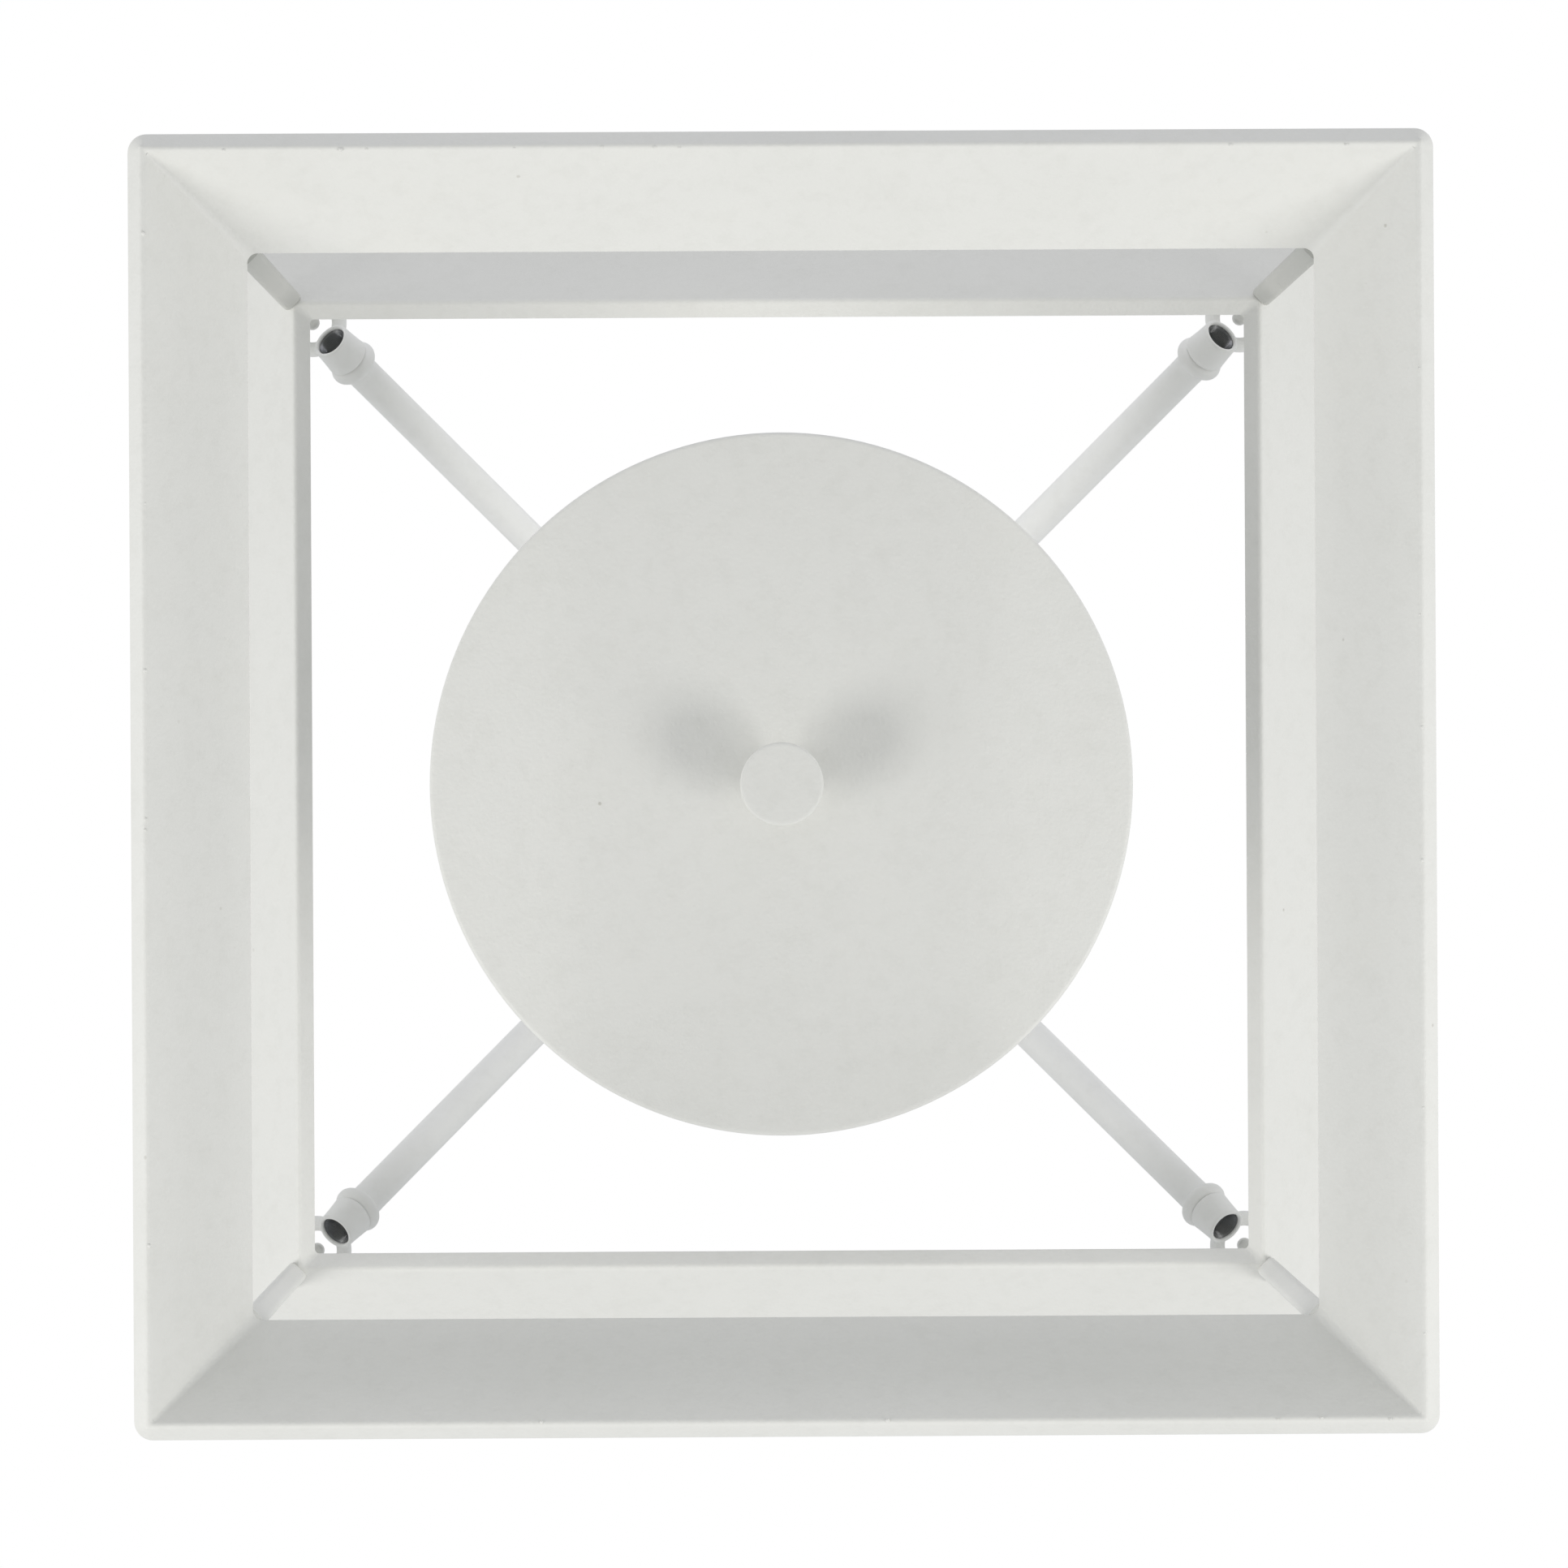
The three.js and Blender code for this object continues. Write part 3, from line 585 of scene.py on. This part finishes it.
ridge = (lip_hi.x, lip_lo.z)
crown_edge = (crown_hi.x, crown_hi.z - CROWN_BACK)
flare("top_bevel", ridge, 2.6 * MM, crown_edge, 0.8 * MM, False)
lip_tip = (lip_in, lip_lo.z + LIP_RISE)
start = Vector(ridge) + unit(ridge, lip_tip) * SOFT
lip_line = rounded(
    [tuple(start), lip_tip, (lip_in + 1.4 * MM, lip_hi.z), (lip_hi.x, lip_lo.z + 3.4 * MM)],
    [0.0, 0.9 * MM, 0.9 * MM, 0.3 * MM],
    5,
)


def lip_corner(h, z):
    return 1.7 * MM + max(0.0, h - lip_in) * 0.2


square_frame("top_lip", lip_line, lip_corner, "top_lip", COAT_FRAME, steps=8)
fold("fold_high", ridge, crown_edge, lip_tip, 2.7 * MM)

corners = [(1, 1), (-1, 1), (-1, -1), (1, -1)]
for i, (sx, sy) in enumerate(corners, 1):
    lo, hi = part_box(f"post_{i}")
    mid = (lo + hi) / 2
    half, wide = 4.5 * MM, 4.1 * MM
    outward = Vector((sx, sy, 0)).normalized()
    across = Vector((-sy, sx, 0)).normalized()
    section = rounded([(-half, -wide), (half, -wide), (half, wide), (-half, wide)], 2.6 * MM, 6)
    bottom, top = lo.z - 0.35 * MM, hi.z + 7 * MM
    rings = []
    for k in range(25):
        z = bottom + (top - bottom) * k / 24
        bow = noise.noise(Vector((i * 5.0, sx, z * 6))) * 0.12 * MM
        base = Vector((mid.x, mid.y, z)) + across * bow
        rings.append([base + outward * x + across * y for x, y in section])
    verts, faces = bridge(rings, False)
    make(f"post_{i}", verts, faces, COAT_POST, "cage", (f"post_{i}",), sharp=40)
    for j, swing in enumerate((-1.0, 1.0)):
        at = Vector((mid.x, mid.y, lo.z)) + across * (wide * 0.95 * swing) + outward * half * 0.5
        blob(f"post_weld_{i}_{j}", at, 1.9 * MM, COAT_POST, "cage", i * 7 + j, (1, 1, 0.9))

# small nibs of paint along the seam between the rim and the sloping plate
for k in range(26):
    side = Matrix.Rotation(rng.randrange(4) * math.pi / 2, 3, "Z")
    along = rng.uniform(-0.97, 0.97) * rim_in
    at = side @ Vector((rim_in + rng.uniform(-0.4, 0.6) * MM, along, rim_lo.z + rng.uniform(0.6, 1.0) * MM))
    blob(f"paint_nib_{k}", at, rng.uniform(0.35, 0.8) * MM, COAT_FRAME, "cage", k, (1, 1, 0.6), 0.3)

# ---------------------------------------------------------------- hooks, eye rings, ferrules, rods
WIRE = 2.9 * MM
for i, (sx, sy) in enumerate(corners, 1):
    spin = Matrix.Rotation(math.atan2(sy, sx), 4, "Z")
    lo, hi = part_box(f"corner_hook_{i}")
    near = min(abs(lo.x), abs(hi.x))
    far = max(abs(lo.x), abs(hi.x))
    tip_out = (near + WIRE) * math.sqrt(2)
    shank_out = (far - WIRE) * math.sqrt(2)
    bend = (shank_out - tip_out) / 2
    crest = hi.z - WIRE - bend
    p = points_of(f"corner_hook_{i}")
    radial = (p[:, 0] * sx + p[:, 1] * sy) / math.sqrt(2)
    tip_z = float(p[radial < tip_out + WIRE][:, 2].min())
    path = [(shank_out, 0, lo.z + (crest - lo.z) * k / 6) for k in range(6)]
    for s in range(19):
        a = s / 18 * math.pi
        path.append((tip_out + bend + bend * math.cos(a), 0, crest + bend * math.sin(a)))
    path += [(tip_out, 0, crest + (tip_z - crest) * k / 4) for k in range(1, 5)]
    path = [spin @ Vector(q) for q in path]
    bar(f"corner_hook_{i}", path, WIRE, COAT_FRAME, "cage", (f"corner_hook_{i}",), domed=(False, True))
    base = spin @ Vector((shank_out, 0, lo.z + 0.8 * MM))
    blob(f"hook_weld_{i}", base, 4.4 * MM, COAT_FRAME, "cage", i + 40, (1, 1, 0.5))

    lo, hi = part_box(f"eye_ring_{i}")
    centre = Vector(((lo.x + hi.x) / 2, (lo.y + hi.y) / 2, hi.z - WIRE))
    big = (hi.x - lo.x) / 2 - WIRE
    around, across = 64, 18
    rings = []
    for k in range(around):
        a = 2 * math.pi * k / around
        out = Vector((math.cos(a), math.sin(a), 0))
        rings.append(
            [
                centre + out * (big + WIRE * math.cos(b)) + Vector((0, 0, WIRE * math.sin(b)))
                for b in (2 * math.pi * m / across for m in range(across))
            ]
        )
    verts, faces = bridge(rings, True)
    make(f"eye_ring_{i}", verts, faces, COAT_ROD, "suspension", (f"eye_ring_{i}",), sharp=60)

    low, high, along = ends_of(f"rod_{i}")
    mouth = low - along * 24.3 * MM
    tilt = along.to_track_quat("Z", "X").to_matrix().to_4x4()
    on_rod = Matrix.Translation(mouth) @ tilt
    length = (high - mouth).length
    lathe(
        f"rod_{i}",
        [(0, 23.0 * MM), (ROD_R - 0.4 * MM, 23.0 * MM), (ROD_R, 23.4 * MM)]
        + [(ROD_R, 24.8 * MM + (length - 26.0 * MM) * k / 20) for k in range(1, 21)]
        + [(ROD_R - 0.4 * MM, length), (0, length)],
        40,
        COAT_ROD,
        "suspension",
        (f"rod_{i}",),
        on_rod,
    )
    pad_at = centre - Vector((sx, sy, 0)).normalized() * big
    weld_at = pad_at - Vector((0, 0, 2.6 * MM))
    blob(f"ring_weld_{i}", weld_at, 3.4 * MM, COAT_ROD, "suspension", i + 60, (1, 1, 0.9))
    seam_at = centre + Vector((sy, -sx, 0)).normalized() * big
    blob(f"ring_seam_{i}", seam_at, 3.12 * MM, COAT_ROD, "suspension", i + 70, (1, 1, 0.96), 0.08)

    profile = [(0, 11), (6.0, 11), (6.0, 0.7), (6.2, 0.25), (6.6, 0), (7.1, 0.05), (7.5, 0.35), (7.62, 0.9)]
    for k in range(1, 9):
        t = k / 8
        profile.append((7.62 + 0.8 * t ** 1.4, 0.9 + 10.4 * t))
    profile += [(8.15, 11.9), (8.05, 12.3)]
    for k in range(13):
        a = -math.pi / 2 + k / 12 * math.pi
        profile.append((6.4 + 3.2 * math.cos(a), 15.6 + 3.2 * math.sin(a)))
    profile += [(6.75, 19.0), (6.56, 19.5), (6.53, 24.1), (0, 24.1)]
    lathe(
        f"ferrule_{i}", [(r * MM, z * MM) for r, z in profile], 48, COAT_ROD, "suspension",
        (f"ferrule_{i}",), on_rod, sharp=50,
    )
    thread = [(0, 10.4), (5.8, 10.4), (5.8, 1.0), (5.5, 0.85), (5.3, 1.0)]
    for k in range(8):
        thread += [(4.65, 1.5 + k * 0.75), (5.05, 1.85 + k * 0.75)]
    thread += [(4.5, 7.6), (3.5, 7.7), (3.3, 8.0), (3.3, 9.4), (0, 9.4)]
    lathe(
        f"thread_insert_{i}", [(r * MM, z * MM) for r, z in thread], 40, BORE, "suspension",
        (f"thread_insert_{i}",), on_rod, 25,
    )

# ---------------------------------------------------------------- hub, tube, stem
lo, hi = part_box("hub")
hub_r = hi.x
hub_mid = (lo.z + hi.z) / 2
span = (hi.z - lo.z) / 2
ball = [(0, hub_mid - span)]
flat = math.asin(min(1.0, span / hub_r))
for k in range(33):
    a = -flat + 2 * flat * k / 32
    ball.append((hub_r * math.cos(a), hub_mid + hub_r * math.sin(a)))
ball.append((0, hub_mid + span))
lathe("hub", ball, 64, COAT_ROD, "suspension", ("hub",), sharp=50)
for i in range(1, 5):
    low, high, along = ends_of(f"rod_{i}")
    where = Matrix.Translation(high) @ along.to_track_quat("Z", "X").to_matrix().to_4x4()
    collar = rounded([(6.6, -4.2), (8.4, -4.2), (8.4, 1.4), (6.6, 1.4)], [0.2, 1.1, 0.6, 0.2], 4)
    lathe(f"rod_collar_{i}", [(r * MM, z * MM) for r, z in collar], 40, COAT_ROD, "suspension", (), where)

lo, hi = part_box("centre_tube")
tube_r = hi.x
tube_bore = tube_r - 3.5 * MM
wall = rounded([(tube_bore, lo.z), (tube_r, lo.z), (tube_r, hi.z), (tube_bore, hi.z)], 0.4 * MM, 3)
lathe("centre_tube", wall, 44, COAT_ROD, "suspension", ("centre_tube",))
collar = rounded(
    [(tube_r + 0.1 * MM, hub_mid - span - 5 * MM), (tube_r + 3 * MM, hub_mid - span - 5 * MM),
     (tube_r + 4 * MM, hub_mid - span + 1 * MM), (tube_r + 0.1 * MM, hub_mid - span + 1 * MM)],
    [0.2 * MM, 1.2 * MM, 0.5 * MM, 0.2 * MM], 4,
)
lathe("tube_collar", collar, 44, COAT_ROD, "suspension")

# ---------------------------------------------------------------- tray, nut, finial
lo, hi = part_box("tray")
tray_r, tray_z, tray_h = hi.x, lo.z, hi.z - lo.z
SHEET = 2.2 * MM  # of the tray
hole = tube_r + 0.3 * MM
pan = rounded(
    [
        (hole, tray_z), (tray_r, tray_z), (tray_r, tray_z + tray_h),
        (tray_r - SHEET, tray_z + tray_h), (tray_r - SHEET, tray_z + SHEET), (hole, tray_z + SHEET),
    ],
    [0.2 * MM, 1.7 * MM, 1.0 * MM, 1.0 * MM, 1.2 * MM, 0.2 * MM], 6,
)
lathe("tray", pan, 160, COAT_TRAY, "suspension", ("tray",), sharp=50)

lo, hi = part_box("tray_locknut")
nut_h = hi.z - lo.z
across = min(hi.x, hi.y)
rings = []
for r, z in ((0.93, 0.0), (1.0, 0.16), (1.0, 0.84), (0.93, 1.0)):
    ring = []
    for k in range(48):
        a = 2 * math.pi * k / 48
        wedge = (a + math.pi / 6) % (math.pi / 3) - math.pi / 6
        hexed = across / math.cos(wedge)
        reach = min(hexed, across * 1.15 * r)
        ring.append(Vector((math.cos(a) * reach, math.sin(a) * reach, lo.z + nut_h * z)))
    rings.append(ring)
turns = [2 * math.pi * k / 48 for k in range(48)]
nut_bore = tube_r + 0.2 * MM
inner = [[Vector((math.cos(a) * nut_bore, math.sin(a) * nut_bore, z)) for a in turns] for z in (hi.z, lo.z)]
verts, faces = bridge(rings + inner, True)
make("tray_locknut", verts, faces, COAT_TRAY, "suspension", ("tray_locknut",), sharp=24)

lo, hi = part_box("finial_stem")
klo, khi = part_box("finial_knob")
knob_r, knob_z, knob_h = khi.x, klo.z, khi.z - klo.z
stem_r = 5.5 * MM
stem = [(0, lo.z), (2.9 * MM, lo.z), (2.9 * MM, khi.z + 0.3 * MM), (stem_r - 0.4 * MM, khi.z + 0.3 * MM),
        (stem_r, khi.z + 0.7 * MM)]
for k in range(9):
    t = k / 8
    stem.append((stem_r + (hi.x - stem_r) * t ** 2.2, hi.z - 6 * MM + 5.4 * MM * t))
stem += [(hi.x, hi.z - 0.2 * MM), (hi.x - 0.3 * MM, hi.z), (0, hi.z)]
lathe("finial_stem", stem, 48, COAT_TRAY, "suspension", ("finial_stem",), sharp=50)
knob = [(0, knob_z), (knob_r * 0.5, knob_z), (knob_r - 1.6 * MM, knob_z)]
for k in range(1, 6):
    a = -math.pi / 2 + k / 5 * math.pi / 2
    knob.append((knob_r - 1.1 * MM + 1.1 * MM * math.cos(a), knob_z + 1.1 * MM + 1.1 * MM * math.sin(a)))
for k in range(1, 13):
    a = k / 12 * math.pi / 2
    knob.append((stem_r + 1.6 * MM + (knob_r - stem_r - 1.6 * MM) * math.cos(a),
                 knob_z + knob_h * 0.45 + knob_h * 0.55 * math.sin(a)))
knob += [(3.3 * MM, knob_z + knob_h), (3.3 * MM, knob_z + 5 * MM), (0, knob_z + 5 * MM)]
lathe("finial_knob", knob, 72, COAT_TRAY, "finial", ("finial_knob",), sharp=40)

# ---------------------------------------------------------------- candles
for i in range(1, 5):
    lo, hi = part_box(f"candle_sleeve_{i}")
    c = Matrix.Translation(Vector(((lo.x + hi.x) / 2, (lo.y + hi.y) / 2, 0)))
    r = (hi.x - lo.x) / 2
    clo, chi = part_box(f"drip_cup_{i}")
    cr = (chi.x - clo.x) / 2
    cup = [(0, clo.z), (cr * 0.5, clo.z), (cr * 0.58, clo.z + 0.3 * MM)]
    for k in range(1, 11):
        t = k / 10
        cup.append((cr * (0.58 + 0.42 * math.sin(t * math.pi / 2)), clo.z + 0.3 * MM + 8.7 * MM * t ** 1.6))
    cup += [(cr - 0.5 * MM, chi.z), (cr - 1.2 * MM, chi.z - 0.1 * MM)]
    for k in range(9, 0, -1):
        t = k / 10
        inside = cr * (0.52 + 0.42 * math.sin(t * math.pi / 2)) - 0.4 * MM
        cup.append((inside, clo.z + 2.6 * MM + 6.4 * MM * t ** 1.6))
    cup += [(r * 0.9, clo.z + 3.2 * MM), (0, clo.z + 3.2 * MM)]
    lathe(f"drip_cup_{i}", cup, 56, COAT_TRAY, "suspension", (f"drip_cup_{i}",), c, sharp=50)
    top = hi.z
    tube = [(r - 1.4 * MM, lo.z), (r, lo.z)]
    tube += [(r, lo.z + (top - lo.z) * k / 10) for k in range(1, 10)]
    tube += [(r, top - 1.2 * MM), (r - 0.3 * MM, top - 0.3 * MM)]
    tube += [(r - 0.8 * MM, top), (r - 1.4 * MM, top - 0.5 * MM)]
    lathe(f"candle_sleeve_{i}", tube, 48, LINEN, "suspension", (f"candle_sleeve_{i}",), c, 40)
    slo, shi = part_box(f"lamp_socket_{i}")
    sr = (shi.x - slo.x) / 2
    cap = [(0, slo.z), (sr, slo.z), (sr, shi.z - 0.8 * MM), (sr - 0.8 * MM, shi.z), (7.4 * MM, shi.z)]
    cap += [(6.9 * MM, shi.z - 0.6 * MM), (6.9 * MM, shi.z - 24 * MM), (0, shi.z - 24 * MM)]
    lathe(f"lamp_socket_{i}", cap, 40, HOLDER, "suspension", (f"lamp_socket_{i}",), c, 40)
    blo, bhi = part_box(f"bulb_{i}")
    br, body = (bhi.x - blo.x) / 2, f"lamp_{i}"
    neck_z = top + 2 * MM
    screw = [(0, blo.z), (2.6 * MM, blo.z + 0.1 * MM), (3.4 * MM, blo.z + 1.4 * MM), (5.4 * MM, blo.z + 3.4 * MM)]
    z = blo.z + 4.2 * MM
    while z < top - 5 * MM:
        screw += [(5.9 * MM, z), (6.5 * MM, z + 0.9 * MM), (6.5 * MM, z + 1.4 * MM), (5.9 * MM, z + 2.3 * MM)]
        z += 2.9 * MM
    screw += [(6.2 * MM, top - 3 * MM), (6.6 * MM, top + 0.5 * MM), (0, top + 0.5 * MM)]
    lathe(f"bulb_cap_{i}", screw, 40, BRASS, body, (), c, 40)
    glass = [(6.5 * MM, top + 0.2 * MM), (6.7 * MM, top + 1.4 * MM)]
    tall = bhi.z - neck_z
    for k in range(1, 30):
        t = k / 30
        belly = math.sin(math.pi * t ** 0.62) ** 0.9 * (br - 4 * MM) + 4 * MM * (1 - t) ** 0.8
        glass.append((max(belly, 0.4 * MM), neck_z + t * tall))
    glass += [(0, bhi.z)]
    glass = [(0, top + 0.2 * MM)] + glass
    lathe(f"bulb_{i}", glass, 48, GLASS, body, (f"bulb_{i}",), c, 60)
    at = Vector((c[0][3], c[1][3], 0))
    coil = []
    for k in range(60):
        t = k / 59
        a = t * math.pi * 2 * 7
        arch = neck_z + 24 * MM + 3 * MM * math.sin(t * math.pi)
        coil.append(at + Vector(((t - 0.5) * 12 * MM, 0.7 * MM * math.cos(a), arch + 0.7 * MM * math.sin(a))))
    bar(f"filament_{i}", coil, 0.16 * MM, BRASS, body, sides=6, domed=(False, False))
    for s, x in (("a", -6), ("b", 6)):
        steps = ((0.35, top + 1 * MM), (0.5, neck_z + 12 * MM), (1.0, neck_z + 24 * MM))
        stalk = [at + Vector((x * out * MM, 0, height)) for out, height in steps]
        bar(f"filament_lead_{i}_{s}", stalk, 0.3 * MM, BRASS, body, sides=8, domed=(False, False))

# ---------------------------------------------------------------- ceiling set
lo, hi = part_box("canopy")
cr, cz = hi.x, lo.z
wall = 1.8 * MM  # of the canopy dish
dish = [(5.6 * MM, cz), (cr - 10 * MM, cz)]
for k in range(1, 13):
    a = -math.pi / 2 + k / 12 * math.pi / 2
    dish.append((cr - 9 * MM + 9 * MM * math.cos(a), cz + 9 * MM + 9 * MM * math.sin(a)))
dish += [(cr, hi.z - 0.5 * MM), (cr - 0.5 * MM, hi.z), (cr - wall, hi.z)]
for k in range(12, -1, -1):
    a = -math.pi / 2 + k / 12 * math.pi / 2
    dish.append((cr - 9 * MM + 7.2 * MM * math.cos(a), cz + 9 * MM + 7.2 * MM * math.sin(a)))
dish += [(5.6 * MM, cz + wall)]
lathe("canopy", dish, 120, COAT_TOP, "ceiling_set", ("canopy",), sharp=50)
lo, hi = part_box("canopy_collar")
cap = rounded([(5.4 * MM, lo.z), (12.2 * MM, lo.z), (hi.x, lo.z + 2.6 * MM), (hi.x, hi.z), (5.4 * MM, hi.z)],
              [0.3 * MM, 1.0 * MM, 0.9 * MM, 0.4 * MM, 0.2 * MM], 4)
lathe("canopy_collar", cap, 60, COAT_TOP, "ceiling_set", ("canopy_collar",))
for i in (1, 2):
    lo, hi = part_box(f"canopy_screw_{i}")
    c = Matrix.Translation(Vector(((lo.x + hi.x) / 2, (lo.y + hi.y) / 2, 0)))
    head = [(0, lo.z)]
    for k in range(1, 9):
        a = k / 8 * math.pi / 2
        head.append((4.6 * MM * math.sin(a), lo.z + 2.9 * MM * (1 - math.cos(a))))
    head += [(4.5 * MM, cz - 0.3 * MM), (2 * MM, cz - 0.3 * MM)]
    z = cz + 2 * MM
    while z < hi.z - 1.4 * MM:
        head += [(1.7 * MM, z), (2 * MM, z + 0.35 * MM)]
        z += 0.7 * MM
    head += [(1.5 * MM, hi.z), (0, hi.z)]
    lathe(f"canopy_screw_{i}", head, 32, COAT_TOP, "ceiling_set", (f"canopy_screw_{i}",), c, sharp=40)

as_they_are = {"ceiling_fork": COAT_TOP, "top_stem": COAT_TOP, "swivel_cross": ZINC, "mounting_bar": ZINC}
for name, mat in as_they_are.items():
    data = nodes[name].data
    data.materials.clear()
    data.materials.append(mat)


# ---------------------------------------------------------------- stage and light
FLOOR_HALF = 40.0
FLOOR_DROP = 6.4  # the lantern hangs high, and the camera looks up at it from above the floor
AIM_RISE = 0.2
SKY_SEEN = 1.0
SKY_FELT = 0.62


def floor():
    mat, t, p = tree_of("floor_pale")
    geo = t.nodes.new("ShaderNodeTexCoord")
    n = noise_node(t, geo.outputs["Object"], 0.8, 3.0, 0.5)
    c = ramp_node(t, n.outputs["Fac"], [(0.3, (0.80, 0.80, 0.79)), (0.7, (0.84, 0.84, 0.83))])
    link(t, c.outputs["Color"], p.inputs["Base Color"])
    p.inputs["Roughness"].default_value = 0.9
    mesh = bpy.data.meshes.new("floor")
    s, z = FLOOR_HALF, cad_box[0][2] - FLOOR_DROP
    mesh.from_pydata([(-s, -s, z), (s, -s, z), (s, s, z), (-s, s, z)], [], [(0, 1, 2, 3)])
    mesh.materials.append(mat)
    obj = bpy.data.objects.new("floor", mesh)
    bpy.context.scene.collection.objects.link(obj)


floor()
AIM = Vector((0, 0, cad_box[0][2] + AIM_RISE))


def soft_light(name, direction, distance, size, power, colour, tall=None):
    data = bpy.data.lights.new(name, "AREA")
    data.shape = "RECTANGLE" if tall else "DISK"
    data.size = size
    if tall:
        data.size_y = tall
    data.energy = power
    data.color = colour
    obj = bpy.data.objects.new(name, data)
    bpy.context.scene.collection.objects.link(obj)
    d = Vector(direction).normalized()
    obj.location = AIM + d * distance
    obj.rotation_mode = "QUATERNION"
    across = Vector((0, 0, 1)).cross(d).normalized()
    obj.rotation_quaternion = Matrix((across, d.cross(across), d)).transposed().to_quaternion()
    obj.visible_camera = False
    return obj


soft_light("key_right", (0.73, 0.39, -0.56), 2.6, 1.08, 24.2, (1.0, 0.985, 0.96))
soft_light("key_left", (-0.73, 0.39, -0.56), 2.6, 1.08, 24.0, (1.0, 0.985, 0.96))
soft_light("fill_back", (0.0, -0.85, 0.25), 3.0, 1.8, 5.0, (0.93, 0.91, 1.0))
soft_light("strip_right", (1.0, 0.0, -0.062), 3.0, 1.5, 9.5, (1.0, 0.99, 0.98), 0.24)
soft_light("strip_left", (-1.0, 0.0, -0.062), 3.0, 1.5, 9.5, (1.0, 0.99, 0.98), 0.24)
soft_light("strip_back", (0.0, -1.0, -0.062), 3.0, 1.5, 10.5, (0.95, 0.93, 1.0), 0.24)

world = bpy.data.worlds.new("studio")
bpy.context.scene.world = world
world.use_nodes = True
wt = world.node_tree
wt.nodes.clear()
out = wt.nodes.new("ShaderNodeOutputWorld")
seen = wt.nodes.new("ShaderNodeBackground")
seen.inputs["Color"].default_value = (1.0, 1.0, 1.0, 1.0)
seen.inputs["Strength"].default_value = SKY_SEEN
felt = wt.nodes.new("ShaderNodeBackground")
felt.inputs["Color"].default_value = (0.96, 0.98, 1.0, 1.0)
felt.inputs["Strength"].default_value = SKY_FELT
path = wt.nodes.new("ShaderNodeLightPath")
mix = wt.nodes.new("ShaderNodeMixShader")
wt.links.new(path.outputs["Is Camera Ray"], mix.inputs["Fac"])
wt.links.new(felt.outputs["Background"], mix.inputs[1])
wt.links.new(seen.outputs["Background"], mix.inputs[2])
wt.links.new(mix.outputs["Shader"], out.inputs["Surface"])

view = bpy.context.scene.view_settings
view.view_transform = "Standard"
view.look = "None"
view.exposure = 0.0
view.gamma = 1.0
